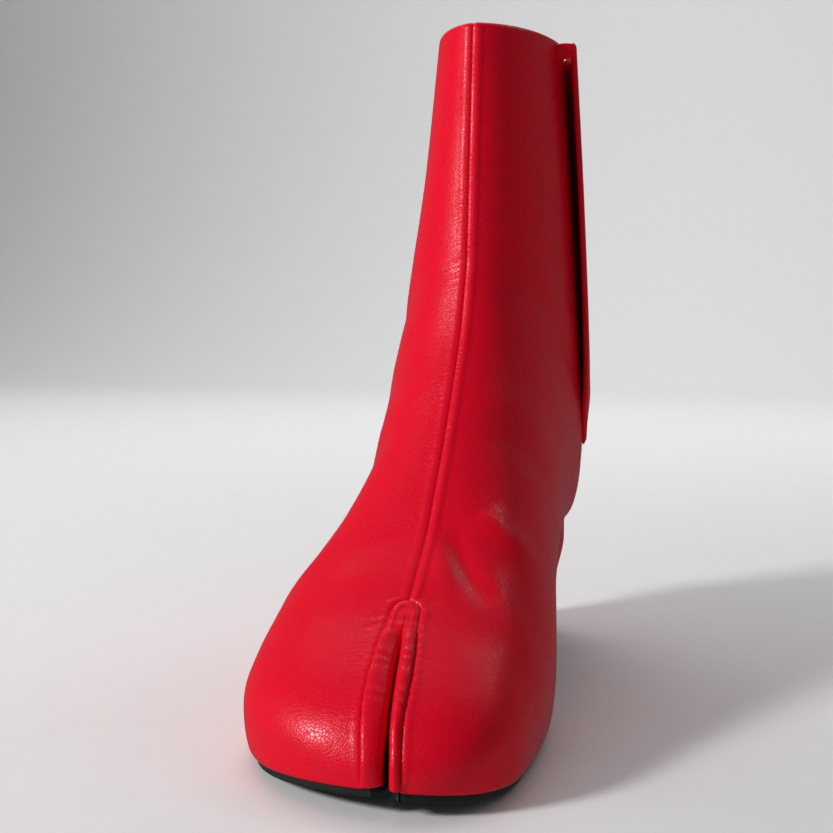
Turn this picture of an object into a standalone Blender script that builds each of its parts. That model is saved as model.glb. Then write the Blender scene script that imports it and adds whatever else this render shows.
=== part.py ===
"""Split-toe ankle boot for the wearer's right foot.

A lasted leather upper with a cleft between the big toe and the others stands on a thin leather outsole
and a round heel, and a flap closes it on the medial side. Metres, +Z up, toe towards -Y, medial side
towards +X. The form is worked out in last coordinates: x from the front seam to the medial side, y back
from the toe tip, z up from the floor. Everything is then moved so that the origin lies on the floor
under the middle of the boot.
"""

import math
from collections import namedtuple

import bmesh
import bpy
import numpy as np

# Driving sizes, in metres
BOOT_LENGTH = 0.238
BALL_LATERAL = 0.055
BALL_MEDIAL = 0.042
TOE_DEPTH = 0.069
TOE_HEIGHT = 0.023
TOE_SPRING = 0.0055
CLEFT_DEPTH = 0.045
CLEFT_HEIGHT = 0.0485
CLEFT_LEAN = 0.0058
CLEFT_GAP = 0.0016
CLEFT_MOUTH = 0.0035
VAMP_HEIGHT = 0.0675
SEAT_HEIGHT = 0.055
THROAT_HEIGHT = 0.153
THROAT_BACK = 0.129
COLLAR_HEIGHT = 0.251
COLLAR_LEAN = 0.010
ANKLE_LATERAL = 0.0395
ANKLE_MEDIAL = 0.0355
COLLAR_LATERAL = 0.0215
COLLAR_MEDIAL = 0.0255
UPPER_WALL = 0.0018
LASTING_MARGIN = 0.010
LIP_WIDTH = 0.0055
LIP_RAISE = 0.0016
SOLE_THICKNESS = 0.0035
SOLE_BEVEL = 0.0009
INSOLE_THICKNESS = 0.0020
HEEL_RADIUS = 0.0265
HEEL_TAPER = 0.0030
HEEL_BACK_INSET = 0.0035
TOP_PIECE_THICKNESS = 0.0055
TOP_PIECE_BEVEL = 0.0008
FLAP_THICKNESS = 0.0022
FLAP_FOOT_RISE = 0.031
FLAP_STAND_OFF_TOP = 0.0060
FLAP_STAND_OFF_FOOT = 0.0024
SLIT_WIDTH = 0.0035
SLIT_ABOVE_FLAP_FOOT = 0.012
CLEARANCE = 0.0003

# Where the outsole is flat on the floor and where the heel seat begins, as shares of the length
FLAT_FRONT = 0.15
FLAT_BACK = 0.34
SEAT_FRONT = 0.83
SPRING_POWER = 1.6

# The toe's sections stand upright, each at a share of the toe depth, on a blunt plan outline
TOE_STATIONS = (0.0, 0.012, 0.05, 0.12, 0.24, 0.42, 0.62, 0.82, 1.0)
TOE_BLUNTNESS = 3.1
TOE_NOSE_SHARE = 0.060
TOE_NOSE_POWER = 2.2
TOE_FEATHER = 0.94
TOE_WIDEST = (0.34, 0.30)
TOE_ROUNDNESS = (2.25, 2.10)

# The cleft's line in plan, its flared mouth as shares of its depth, and the groove outside its lips as
# shares of the lip's width
CLEFT_LEAN_POWER = 1.3
MOUTH_SHARE = 0.3
MOUTH_LIMIT = 1.6
CLEFT_MARGIN_SHARE = 0.4
GROOVE_DEPTH_SHARE = 0.25
GROOVE_PLACE = 1.25
GROOVE_SPREAD = 0.25

# A section runs from the ridge (front seam) round to the keel (middle of the sole or back seam).
# Foot rows: ridge_back and ridge_up are shares of the way from the ball to the throat, keel_back is a
# share of the length, lateral and medial are shares of the named half width, widest is the height of
# the widest point as a share of the section, feather is the flat bottom as a share of the width.
FootRow = namedtuple("FootRow", "girth ridge_back ridge_up keel_back lateral medial widest roundness "
                     "feather")
FOOT_ROWS = (
    FootRow("ball", 0.15, 0.12, 0.350, 0.93, 0.98, 0.31, 2.05, 0.93),
    FootRow("ball", 0.34, 0.28, 0.430, 0.81, 0.92, 0.32, 2.00, 0.90),
    FootRow("ball", 0.62, 0.55, 0.570, 0.67, 0.82, 0.36, 1.95, 0.82),
    FootRow("ankle", 0.83, 0.78, 0.720, 0.93, 0.93, 0.40, 1.90, 0.78),
    FootRow("ankle", 0.95, 0.98, 0.850, 0.98, 0.95, 0.41, 1.85, 0.77),
)

# Shaft rows: rise is the share of the way from throat to collar, keel_back a share of the length,
# keel_up a share of the way from the heel seat to the collar, narrowing the share of the way from the
# ankle's half width to the collar's.
ShaftRow = namedtuple("ShaftRow", "rise keel_back keel_up narrow_lateral narrow_medial widest feather")
SHAFT_ROWS = (
    ShaftRow(0.10, 0.930, 0.000, 0.02, 0.10, 0.42, 0.66),
    ShaftRow(0.13, 0.970, 0.000, 0.04, 0.10, 0.42, 0.47),
    ShaftRow(0.16, 0.990, 0.000, 0.06, 0.10, 0.43, 0.26),
    ShaftRow(0.19, 0.998, 0.020, 0.08, 0.10, 0.43, 0.10),
    ShaftRow(0.24, 1.001, 0.090, 0.12, 0.14, 0.44, 0.00),
    ShaftRow(0.33, 1.000, 0.200, 0.24, 0.24, 0.45, 0.00),
    ShaftRow(0.60, 0.980, 0.500, 0.62, 0.50, 0.47, 0.00),
    ShaftRow(1.00, 0.968, 1.000, 1.00, 1.00, 0.49, 0.00),
)
SHAFT_ROUNDNESS = 1.8
SHAFT_START = 0.5
HEEL_TIP = 0.995
INSET_LIMIT = 0.4
FEATHER_LIMIT = 0.97

# Places round a section: 0 at the ridge, 1 at the keel, with the widest point and the feather edge
WIDEST_PLACE = 0.52
BOTTOM_SHARE = 0.20
BOTTOM_FADE = 0.5

# Grid lines: columns are finest beside the cleft, where the lips stand up
HALF_COLUMNS = (0.0, 0.008, 0.016, 0.024, 0.032, 0.042, 0.07, 0.12, 0.18, 0.25, 0.32, 0.39, 0.46,
                0.52, 0.58, 0.65, 0.72, 0.80, 0.88, 1.0)
LINING_COLUMNS = (0.0, 0.06, 0.13, 0.21, 0.29, 0.37, 0.45, 0.52, 0.59, 0.66, 0.73, 0.80, 0.90, 1.0)
UPPER_ROWS = 54
LINING_ROWS = 40
SOLE_STATIONS = 44
EDGE_STATIONS = 400
HEEL_CORNER_STEPS = 5
CLEFT_STEPS = 18
ROUND_STEPS = 48
POLE = 0.004
STEP = 0.002

# The flap on the medial side, in places round the section and shares of its own height. It springs off
# the shaft from SPRING_END, a share of its breadth, to its free edge.
FLAP_FRONT = 0.46
FLAP_BACK = 0.93
FLAP_CORNER = 0.16
FLAP_CORNER_SET_BACK = 0.13
FLAP_ROWS = 16
FLAP_ROW_POWER = 1.3
FLAP_COLUMNS = 10
SPRING_END = 0.85
FLAP_SPRING_POWER = 1.4
STAND_OFF_POWER = 0.8
FOOT_SPRING = 0.35
SLIT_PLACE = 0.585
SLIT_FOOT_HALF = 0.004

# Heights of the heel block's waist and shoulder, as shares of the heel seat's height
HEEL_WAIST_SHARE = 0.45
HEEL_SHOULDER_SHARE = 0.85
HEEL_WAIST_TAPER = 1.1


def smooth_table(stations, table, wanted):
    """Monotone cubic through the table's rows, so that no section bulges between its neighbours."""
    span = np.diff(stations)[:, None]
    slope = np.diff(table, axis=0) / span
    tangent = np.zeros_like(table)
    tangent[0] = slope[0]
    tangent[-1] = slope[-1]
    before = 2.0 * span[1:] + span[:-1]
    after = span[1:] + 2.0 * span[:-1]
    steady = slope[:-1] * slope[1:] > 0.0
    safe_before = np.where(steady, slope[:-1], 1.0)
    safe_after = np.where(steady, slope[1:], 1.0)
    mean = (before + after) / (before / safe_before + after / safe_after)
    tangent[1:-1] = np.where(steady, mean, 0.0)
    index = np.clip(np.searchsorted(stations, wanted) - 1, 0, len(stations) - 2)
    width = (stations[index + 1] - stations[index])[:, None]
    share = (wanted[:, None] - stations[index][:, None]) / width
    start = (1.0 + 2.0 * share) * (1.0 - share) ** 2 * table[index]
    start_pull = share * (1.0 - share) ** 2 * width * tangent[index]
    end = share ** 2 * (3.0 - 2.0 * share) * table[index + 1]
    end_pull = share ** 2 * (share - 1.0) * width * tangent[index + 1]
    return start + start_pull + end + end_pull


def ease(share):
    """Smooth step from 0 to 1."""
    held = np.clip(share, 0.0, 1.0)
    return held * held * (3.0 - 2.0 * held)


def sole_top(y):
    """Height of the outsole's upper face: toe spring, flat forefoot, arch, heel seat."""
    front = FLAT_FRONT * BOOT_LENGTH
    back = FLAT_BACK * BOOT_LENGTH
    seat = SEAT_FRONT * BOOT_LENGTH
    spring = TOE_SPRING * np.maximum((front - y) / front, 0.0) ** SPRING_POWER
    arch = (SEAT_HEIGHT - SOLE_THICKNESS) * ease((y - back) / (seat - back))
    return SOLE_THICKNESS + spring + arch


def cleft_line(y):
    """How far the cleft leans to the medial side at a distance from the toe tip."""
    return CLEFT_LEAN * np.clip(1.0 - y / CLEFT_DEPTH, 0.0, 1.0) ** CLEFT_LEAN_POWER


def toe_sections():
    """Upright sections from the toe tip to the ball."""
    rows = []
    for station in TOE_STATIONS:
        y = TOE_DEPTH * station
        half = math.sqrt(1.0 - (1.0 - station) ** TOE_BLUNTNESS)
        top = np.interp(y, (0.0, CLEFT_DEPTH, TOE_DEPTH), (TOE_HEIGHT, CLEFT_HEIGHT, VAMP_HEIGHT))
        reach = min(1.0, y / (TOE_NOSE_SHARE * BOOT_LENGTH))
        nose = (1.0 - (1.0 - reach) ** TOE_NOSE_POWER) ** (1.0 / TOE_NOSE_POWER)
        base = float(sole_top(y)) + CLEARANCE
        ridge = base + CLEARANCE + (top - base) * nose
        widest = np.interp(station, (0.0, 1.0), TOE_WIDEST)
        roundness = np.interp(station, (0.0, 1.0), TOE_ROUNDNESS)
        rows.append([y, ridge, y, CLEARANCE, float(cleft_line(y)), BALL_LATERAL * half,
                     BALL_MEDIAL * half, widest, roundness, TOE_FEATHER])
    return rows


def foot_sections():
    """Sections that fan round the instep, from the ball to the throat."""
    half = {"ball": (BALL_LATERAL, BALL_MEDIAL), "ankle": (ANKLE_LATERAL, ANKLE_MEDIAL)}
    rows = []
    for row in FOOT_ROWS:
        lateral, medial = half[row.girth]
        y = TOE_DEPTH + (THROAT_BACK - TOE_DEPTH) * row.ridge_back
        z = VAMP_HEIGHT + (THROAT_HEIGHT - VAMP_HEIGHT) * row.ridge_up
        rows.append([y, z, row.keel_back * BOOT_LENGTH, CLEARANCE, 0.0, lateral * row.lateral,
                     medial * row.medial, row.widest, row.roundness, row.feather])
    return rows


def shaft_sections():
    """Sections from the heel's corner up to the collar."""
    rows = []
    for row in SHAFT_ROWS:
        y = THROAT_BACK + COLLAR_LEAN * row.rise
        z = THROAT_HEIGHT + (COLLAR_HEIGHT - THROAT_HEIGHT) * row.rise
        lift = CLEARANCE + (COLLAR_HEIGHT - SEAT_HEIGHT - CLEARANCE) * row.keel_up
        lateral = ANKLE_LATERAL + (COLLAR_LATERAL - ANKLE_LATERAL) * row.narrow_lateral
        medial = ANKLE_MEDIAL + (COLLAR_MEDIAL - ANKLE_MEDIAL) * row.narrow_medial
        rows.append([y, z, row.keel_back * BOOT_LENGTH, lift, 0.0, lateral, medial, row.widest,
                     SHAFT_ROUNDNESS, row.feather])
    return rows


def section_stations(table):
    """Share of the way along the form at which each section stands, by how far its ends move."""
    ridge_steps = np.hypot(np.diff(table[:, 0]), np.diff(table[:, 1]))
    keel_steps = np.hypot(np.diff(table[:, 2]), np.diff(sole_top(table[:, 2]) + table[:, 3]))
    travel = np.concatenate([[0.0], np.cumsum(np.sqrt(ridge_steps + keel_steps))])
    return travel / travel[-1]


# Columns: ridge y and z, keel y and its lift over the outsole, centre x, lateral and medial half width,
# height of the widest point, roundness and feather
SECTIONS = np.array(toe_sections() + foot_sections() + shaft_sections())
STATIONS = section_stations(SECTIONS)


def inset_sections(wall):
    """The sections drawn in by a wall: narrower, and shorter from ridge to keel and at the toe."""
    table = SECTIONS.copy()
    reach = table[:, 0:2] - table[:, 2:4] - np.outer(sole_top(table[:, 2]), [0.0, 1.0])
    length = np.linalg.norm(reach, axis=1, keepdims=True)
    draw = reach / length * np.minimum(wall, INSET_LIMIT * length)
    table[:, 0:2] -= draw
    table[:, 2:4] += draw
    nose = TOE_NOSE_SHARE * BOOT_LENGTH
    back = wall * np.clip(1.0 - SECTIONS[:, 0] / nose, 0.0, 1.0) ** 2
    table[:, 0] += back
    table[:, 2] += back
    flat = table[:, 5:7].mean(axis=1) * table[:, 9]
    table[:, 5:7] = np.maximum(table[:, 5:7] - wall, 0.0)
    width = np.maximum(table[:, 5:7].mean(axis=1), wall)
    table[:, 9] = np.clip((flat - wall) / width, 0.0, FEATHER_LIMIT)
    return table


def surface(along, around, wall=0.0):
    """Points of the upper's outside, or of its inside for a wall. along runs 0 to 1 from toe to collar,
    around -1 to 1 from the keel over the lateral side, the ridge at 0 and the medial side to the keel."""
    shape = np.broadcast(along, around).shape
    along = np.broadcast_to(along, shape)
    around = np.broadcast_to(around, shape)
    sections = inset_sections(wall) if wall > 0.0 else SECTIONS
    table = smooth_table(STATIONS, sections, along.ravel()).reshape(shape + (10,))
    ridge_y, ridge_z, keel_y, lift, centre = np.moveaxis(table[..., :5], -1, 0)
    lateral, medial, widest, roundness, feather = np.moveaxis(table[..., 5:], -1, 0)
    keel_z = sole_top(keel_y) + lift
    half = np.where(around > 0.0, medial, lateral)
    place = np.abs(around)
    bottom = 1.0 - BOTTOM_SHARE * np.clip(feather / BOTTOM_FADE, 0.0, 1.0)
    top_turn = np.clip(place / WIDEST_PLACE, 0.0, 1.0) * math.pi / 2.0
    side_turn = np.clip((place - WIDEST_PLACE) / (bottom - WIDEST_PLACE), 0.0, 1.0) * math.pi / 2.0
    flat = np.clip((place - bottom) / np.maximum(1.0 - bottom, 1e-6), 0.0, 1.0)
    top_out = half * np.sin(top_turn) ** (2.0 / roundness)
    side_out = half * (feather + (1.0 - feather) * np.cos(side_turn)) * (1.0 - flat)
    top_up = widest + (1.0 - widest) * np.cos(top_turn) ** (2.0 / roundness)
    side_up = widest * (1.0 - np.sin(side_turn))
    over = place < WIDEST_PLACE
    out = np.where(over, top_out, side_out)
    up = np.where(over, top_up, side_up)
    x = centre + np.sign(around) * out
    y = keel_y + (ridge_y - keel_y) * up
    z = keel_z + (ridge_z - keel_z) * up
    return np.stack([x, y, z], axis=-1)


def normals(along, around):
    """Outward unit normals of the surface, by central differences."""
    held_along = np.clip(along, POLE, 1.0 - STEP)
    held_around = np.clip(around, -1.0 + STEP, 1.0 - STEP)
    across = surface(held_along, held_around + STEP) - surface(held_along, held_around - STEP)
    onward = surface(held_along + STEP, held_around) - surface(held_along - STEP, held_around)
    cross = np.cross(across, onward)
    return cross / np.maximum(np.linalg.norm(cross, axis=-1, keepdims=True), 1e-12)


def lip_raise(points):
    """Height of the rolled lip beside the cleft, with the shallow groove outside it."""
    distance = np.abs(points[..., 0] - cleft_line(points[..., 1]))
    share = distance / LIP_WIDTH
    roll = np.sqrt(np.clip(1.0 - (2.0 * share - 1.0) ** 2, 0.0, 1.0))
    groove = GROOVE_DEPTH_SHARE * np.exp(-((share - GROOVE_PLACE) / GROOVE_SPREAD) ** 2)
    fade = ease((CLEFT_DEPTH + 0.5 * LIP_WIDTH - points[..., 1]) / LIP_WIDTH)
    above_sole = ease((points[..., 2] - SOLE_THICKNESS - TOE_SPRING) / LIP_WIDTH)
    return LIP_RAISE * (roll - groove) * fade * above_sole


def form_grid(rows, half_columns, wall=0.0):
    """Grid of points on the upper's inside, a wall in from its form, or on its outside with the lips."""
    half = np.array(half_columns)
    around = np.concatenate([-half[::-1], half[1:]])[None, :]
    along = np.linspace(0.0, 1.0, rows)[:, None]
    points = surface(along, around, wall)
    if wall == 0.0:
        outward = normals(along + 0.0 * around, around + 0.0 * along)
        points = points + outward * lip_raise(points)[..., None]
    return points


def plan_middle():
    """Middle of the boot's plan, over the upper and the flap."""
    everything = np.concatenate([form_grid(UPPER_ROWS, HALF_COLUMNS).reshape(-1, 3),
                                 flap_points(FLAP_THICKNESS).reshape(-1, 3)])
    low = everything.min(axis=0)
    high = everything.max(axis=0)
    return np.array([(low[0] + high[0]) / 2.0, (low[1] + high[1]) / 2.0, 0.0])


def add_mesh(name, points, faces, collection, closed=True):
    """A mesh object from points in last coordinates, doubles merged, a closed one's faces turned out."""
    mesh = bpy.data.meshes.new(name)
    placed = np.asarray(points) - ORIGIN
    mesh.from_pydata([tuple(float(value) for value in point) for point in placed], [], faces)
    work = bmesh.new()
    work.from_mesh(mesh)
    bmesh.ops.remove_doubles(work, verts=work.verts, dist=0.00001)
    bmesh.ops.dissolve_degenerate(work, edges=work.edges, dist=0.000005)
    if closed:
        bmesh.ops.recalc_face_normals(work, faces=work.faces)
    work.to_mesh(mesh)
    work.free()
    made = bpy.data.objects.new(name, mesh)
    collection.objects.link(made)
    return made


def grid_faces(rows, columns, start=0, closed=False):
    """Quads of a grid whose points are numbered row by row."""
    last = columns if closed else columns - 1
    faces = []
    for row in range(rows - 1):
        for column in range(last):
            onward = (column + 1) % columns
            low = start + row * columns
            high = low + columns
            faces.append((low + column, low + onward, high + onward, high + column))
    return faces


def form_solid(name, rows, half_columns, collection, wall=0.0, rise=0.0):
    """Closed solid inside the upper's form, with its collar end moved up by rise."""
    grid = form_grid(rows, half_columns, wall)
    grid[0] = grid[0].mean(axis=0)
    if rise > 0.0:
        raised = grid[-1:] + np.array([0.0, 0.0, rise])
        grid = np.concatenate([grid, raised])
    grid = grid[:, :-1]
    rows, columns = grid.shape[:2]
    middle = grid[-1].mean(axis=0)
    points = np.concatenate([grid.reshape(-1, 3), middle[None]])
    faces = grid_faces(rows, columns, closed=True)
    top = (rows - 1) * columns
    for column in range(columns):
        faces.append((top + column, top + (column + 1) % columns, len(points) - 1))
    return add_mesh(name, points, faces, collection)


def feather_edge():
    """The form's bottom edge in plan: stations back from the toe, and x on either side."""
    along = np.linspace(POLE / 2.0, 1.0, EDGE_STATIONS)
    table = smooth_table(STATIONS, SECTIONS, along)
    on_sole = table[:, 3] <= 2.0 * CLEARANCE
    kept = table[on_sole]
    toe = [0.0, float(cleft_line(0.0)), float(cleft_line(0.0))]
    lateral = kept[:, 4] - kept[:, 5] * kept[:, 9]
    medial = kept[:, 4] + kept[:, 6] * kept[:, 9]
    inner = np.stack([kept[:, 2], lateral, medial], axis=1)
    last = inner[-1]
    turn = np.linspace(0.0, math.pi / 2.0, HEEL_CORNER_STEPS + 1)[1:]
    heel = np.stack([last[0] + (BOOT_LENGTH * HEEL_TIP - last[0]) * np.sin(turn), last[1] * np.cos(turn),
                     last[2] * np.cos(turn)], axis=1)
    return np.concatenate([[toe], inner, heel])


def inset_edge(inset):
    """The feather edge moved inwards in plan by inset, as stations and x on either side."""
    edge = feather_edge()
    lateral = edge[:, [1, 0]]
    medial = edge[::-1][:, [2, 0]]
    ring = np.concatenate([lateral, medial[1:-1]])
    ahead = np.roll(ring, -1, axis=0) - np.roll(ring, 1, axis=0)
    inward = np.stack([ahead[:, 1], -ahead[:, 0]], axis=1)
    inward /= np.maximum(np.linalg.norm(inward, axis=1, keepdims=True), 1e-9)
    moved = ring + inset * inward
    count = len(lateral)
    left = moved[:count]
    right = np.concatenate([moved[:1], moved[count:][::-1], moved[count - 1:count]])
    low = max(left[0, 1], edge[0, 0] + inset)
    high = min(left[-1, 1], edge[-1, 0] - inset)
    turn = np.linspace(0.0, math.pi, SOLE_STATIONS)
    stations = low + (high - low) * (1.0 - np.cos(turn)) / 2.0
    order_left = np.argsort(left[:, 1])
    order_right = np.argsort(right[:, 1])
    lateral_x = np.interp(stations, left[order_left, 1], left[order_left, 0])
    medial_x = np.interp(stations, right[order_right, 1], right[order_right, 0])
    for ends in (0, -1):
        middle = (lateral_x[ends] + medial_x[ends]) / 2.0
        lateral_x[ends] = middle
        medial_x[ends] = middle
    return stations, lateral_x, medial_x


def plate(name, levels, collection):
    """Slab that follows the sole's line. levels is a list of (height over the outsole's top, inset)."""
    rings = []
    for height, inset in levels:
        stations, lateral_x, medial_x = inset_edge(inset)
        z = sole_top(stations) + height
        lateral = np.stack([lateral_x, stations, z], axis=1)
        medial = np.stack([medial_x, stations, z], axis=1)[::-1]
        rings.append(np.concatenate([lateral, medial[1:-1]]))
    count = len(rings[0])
    points = np.concatenate(rings)
    faces = grid_faces(len(rings), count, closed=True)
    pairs = SOLE_STATIONS - 1
    for start in (0, (len(rings) - 1) * count):
        for index in range(pairs):
            left = start + index
            left_next = start + index + 1
            right = start + (count - index) % count
            right_next = start + (count - index - 1) % count
            faces.append((left, left_next, right_next, right))
    return add_mesh(name, points, faces, collection)


def prism(name, outline, low, high, collection):
    """Upright prism on a plan outline."""
    count = len(outline)
    bottom = np.column_stack([outline, np.full(count, low)])
    top = np.column_stack([outline, np.full(count, high)])
    faces = grid_faces(2, count, closed=True)
    faces.append(tuple(range(count)))
    faces.append(tuple(range(2 * count - 1, count - 1, -1)))
    return add_mesh(name, np.concatenate([bottom, top]), faces, collection)


def cleft_prism(name, spread, collection):
    """Cutter for the cleft: a slot along the leaning line, flared at the mouth and round at its root."""
    front = -2.0 * LASTING_MARGIN
    root = CLEFT_DEPTH
    y = np.linspace(front, root, CLEFT_STEPS)
    flare = CLEFT_MOUTH * np.clip(1.0 - y / (MOUTH_SHARE * CLEFT_DEPTH), 0.0, MOUTH_LIMIT) ** 2
    half = CLEFT_GAP / 2.0 + flare + spread
    middle = cleft_line(y)
    left = np.stack([middle - half, y], axis=1)
    right = np.stack([middle + half, y], axis=1)
    turn = np.linspace(0.0, math.pi, 9)[1:-1]
    end = half[-1]
    cap = np.stack([-end * np.cos(turn), root + end * np.sin(turn)], axis=1)
    outline = np.concatenate([left, cap, right[::-1]])
    return prism(name, outline, -SEAT_HEIGHT, 2.0 * THROAT_HEIGHT, collection)


def along_at_height(around, height):
    """Shares along the form at which it reaches a height, for each place round it."""
    climb = np.linspace(SHAFT_START, 1.0, 2 * UPPER_ROWS)
    found = []
    for place in np.ravel(around):
        found.append(np.interp(height, surface(climb, np.full_like(climb, place))[:, 2], climb))
    return np.reshape(found, np.shape(around))


def flap_places():
    """Places of the flap's grid on the form: along, around, the share from free edge to back, and height."""
    climb = np.linspace(0.0, 1.0, FLAP_ROWS)[:, None] ** FLAP_ROW_POWER
    across = np.linspace(0.0, 1.0, FLAP_COLUMNS)[None, :]
    corner = np.clip(1.0 - climb / FLAP_CORNER, 0.0, 1.0)
    front = FLAP_FRONT + FLAP_CORNER_SET_BACK * (1.0 - np.sqrt(1.0 - corner ** 2))
    around = front + (FLAP_BACK - front) * across
    foot = along_at_height(around[:1], SEAT_HEIGHT + FLAP_FOOT_RISE)
    along = foot + (1.0 - foot) * climb
    return along, around, across + 0.0 * around, climb + 0.0 * around


def flap_points(outer):
    """Points of the flap's face at a distance outside its inner face."""
    along, around, across, climb = flap_places()
    stand_off = FLAP_STAND_OFF_FOOT + (FLAP_STAND_OFF_TOP - FLAP_STAND_OFF_FOOT) * climb ** STAND_OFF_POWER
    spring = np.clip(1.0 - across / SPRING_END, 0.0, 1.0) ** FLAP_SPRING_POWER
    offset = CLEARANCE + stand_off * spring * ease(climb / FLAP_CORNER + FOOT_SPRING) + outer
    return surface(along, around) + normals(along, around) * offset[..., None]


def thick_sheet(name, grid, thickness, collection):
    """Open grid that faces away from the boot's medial side, made solid outwards with Solidify."""
    rows, columns = grid.shape[:2]
    sheet = add_mesh(name, grid.reshape(-1, 3), grid_faces(rows, columns), collection, closed=False)
    step = sheet.modifiers.new("thickness", "SOLIDIFY")
    step.thickness = thickness
    step.offset = 1.0
    return sheet


def slit_cutter(collection):
    """Cutter for the slit in the upper under the flap, open at the collar."""
    climb = np.linspace(0.0, 1.0, FLAP_ROWS)[:, None]
    foot = along_at_height(SLIT_PLACE, SEAT_HEIGHT + FLAP_FOOT_RISE + SLIT_ABOVE_FLAP_FOOT)
    along = foot + (1.0 - foot) * climb
    girth = 2.0 * (ANKLE_LATERAL + ANKLE_MEDIAL)
    half = SLIT_WIDTH / girth * np.sqrt(climb) + SLIT_FOOT_HALF
    around = SLIT_PLACE + half * np.array([[-1.0, 1.0]])
    along = along + 0.0 * around
    inner = surface(along, around) - normals(along, around) * 3.0 * UPPER_WALL
    lift = np.array([[[0.0, 0.0, 4.0 * UPPER_WALL]]])
    inner = np.concatenate([inner, inner[-1:] + lift])
    return thick_sheet("slit_cutter", inner, 5.0 * UPPER_WALL, collection)


def cut(target, cutter, name):
    """Take a cutter away from a target with an exact Boolean."""
    step = target.modifiers.new(name, "BOOLEAN")
    step.operation = "DIFFERENCE"
    step.solver = "EXACT"
    step.object = cutter


def turned(name, profile, collection, centre_y):
    """Turned solid about an upright axis. The profile is (radius, height) from the top down."""
    mesh = bpy.data.meshes.new(name)
    points = [(radius, 0.0, height) for radius, height in profile]
    points = [(0.0, 0.0, profile[0][1])] + points + [(0.0, 0.0, profile[-1][1])]
    mesh.from_pydata(points, [(index, index + 1) for index in range(len(points) - 1)], [])
    made = bpy.data.objects.new(name, mesh)
    made.location = (-ORIGIN[0], centre_y - ORIGIN[1], 0.0)
    collection.objects.link(made)
    step = made.modifiers.new("turning", "SCREW")
    step.steps = ROUND_STEPS
    step.render_steps = ROUND_STEPS
    step.use_merge_vertices = True
    step.merge_threshold = 0.00005
    return made


def make_material(name, colour, roughness, metallic=0.0):
    """Principled material."""
    material = bpy.data.materials.new(name)
    material.use_nodes = True
    shader = material.node_tree.nodes["Principled BSDF"]
    shader.inputs["Base Color"].default_value = (*colour, 1.0)
    shader.inputs["Roughness"].default_value = roughness
    shader.inputs["Metallic"].default_value = metallic
    return material


def finish(part, material, sharp=50.0):
    """Give a part its material and smooth shading."""
    part.data.materials.append(material)
    part.data.shade_smooth()
    part.data.set_sharp_from_angle(angle=math.radians(sharp))


def make_upper(boot, cutters, leather):
    """Hollow upper: outer form less the cleft, the room for the foot, the opening under it and the slit."""
    cleft = cleft_prism("cleft_cutter", 0.0, cutters)
    cleft_wall = cleft_prism("cleft_wall_cutter", UPPER_WALL, cutters)
    cleft_margin = cleft_prism("cleft_margin_cutter", UPPER_WALL + CLEFT_MARGIN_SHARE * LASTING_MARGIN,
                               cutters)
    room = form_solid("foot_room_cutter", LINING_ROWS, LINING_COLUMNS, cutters, wall=UPPER_WALL,
                      rise=5.0 * UPPER_WALL)
    cut(room, cleft_wall, "cleft wall")
    under = plate("under_opening_cutter", ((-2.0 * UPPER_WALL, LASTING_MARGIN),
                                           (2.0 * UPPER_WALL, LASTING_MARGIN)), cutters)
    cut(under, cleft_margin, "cleft margin")
    upper = form_solid("upper", UPPER_ROWS, HALF_COLUMNS, boot)
    cut(upper, cleft, "cleft")
    cut(upper, room, "foot room")
    cut(upper, under, "under opening")
    cut(upper, slit_cutter(cutters), "slit")
    finish(upper, leather)


def make_outsole(boot, cutters, sole_leather):
    """Thin outsole with bevelled edges and the cleft's notch."""
    notch = cleft_prism("sole_notch_cutter", UPPER_WALL * 0.5, cutters)
    levels = ((-SOLE_THICKNESS, SOLE_BEVEL), (SOLE_BEVEL - SOLE_THICKNESS, 0.0), (-SOLE_BEVEL, 0.0),
              (0.0, SOLE_BEVEL / 2.0))
    outsole = plate("outsole", levels, boot)
    cut(outsole, notch, "notch")
    finish(outsole, sole_leather, sharp=30.0)


def make_insole(boot, cutters, lining):
    """Insole board that lies inside on the upper's turned-in margin."""
    bottom = CLEARANCE + UPPER_WALL + CLEARANCE
    inset = 2.0 * UPPER_WALL + CLEARANCE
    levels = ((bottom, inset), (bottom + INSOLE_THICKNESS, inset))
    insole = plate("insole", levels, boot)
    cut(insole, cleft_prism("insole_notch_cutter", UPPER_WALL + 2.0 * CLEARANCE, cutters), "notch")
    finish(insole, lining, sharp=30.0)


def make_heel(boot, cutters, leather, rubber):
    """Round heel block cut to the outsole's slope, and its rubber top piece on the floor."""
    centre_y = BOOT_LENGTH * HEEL_TIP - HEEL_BACK_INSET - HEEL_RADIUS
    foot_radius = HEEL_RADIUS - HEEL_TAPER
    waist_radius = HEEL_RADIUS - HEEL_WAIST_TAPER * HEEL_TAPER
    profile = ((HEEL_RADIUS, SEAT_HEIGHT), (HEEL_RADIUS, HEEL_SHOULDER_SHARE * SEAT_HEIGHT),
               (waist_radius, HEEL_WAIST_SHARE * SEAT_HEIGHT), (foot_radius, TOP_PIECE_THICKNESS + CLEARANCE))
    block = turned("heel_block", profile, boot, centre_y)
    seat = plate("heel_seat_cutter", ((-SOLE_THICKNESS - CLEARANCE, -LASTING_MARGIN),
                                      (SEAT_HEIGHT, -LASTING_MARGIN)), cutters)
    cut(block, seat, "seat")
    finish(block, leather)
    profile = ((foot_radius, TOP_PIECE_THICKNESS), (foot_radius, TOP_PIECE_BEVEL),
               (foot_radius - TOP_PIECE_BEVEL, 0.0))
    top_piece = turned("heel_top_piece", profile, boot, centre_y)
    finish(top_piece, rubber, sharp=30.0)


def make_flap(boot, leather):
    """Flap over the slit: joined at the back, its free edge to the front standing off the shaft."""
    flap = thick_sheet("closure_flap", flap_points(0.0), FLAP_THICKNESS, boot)
    finish(flap, leather)


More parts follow.
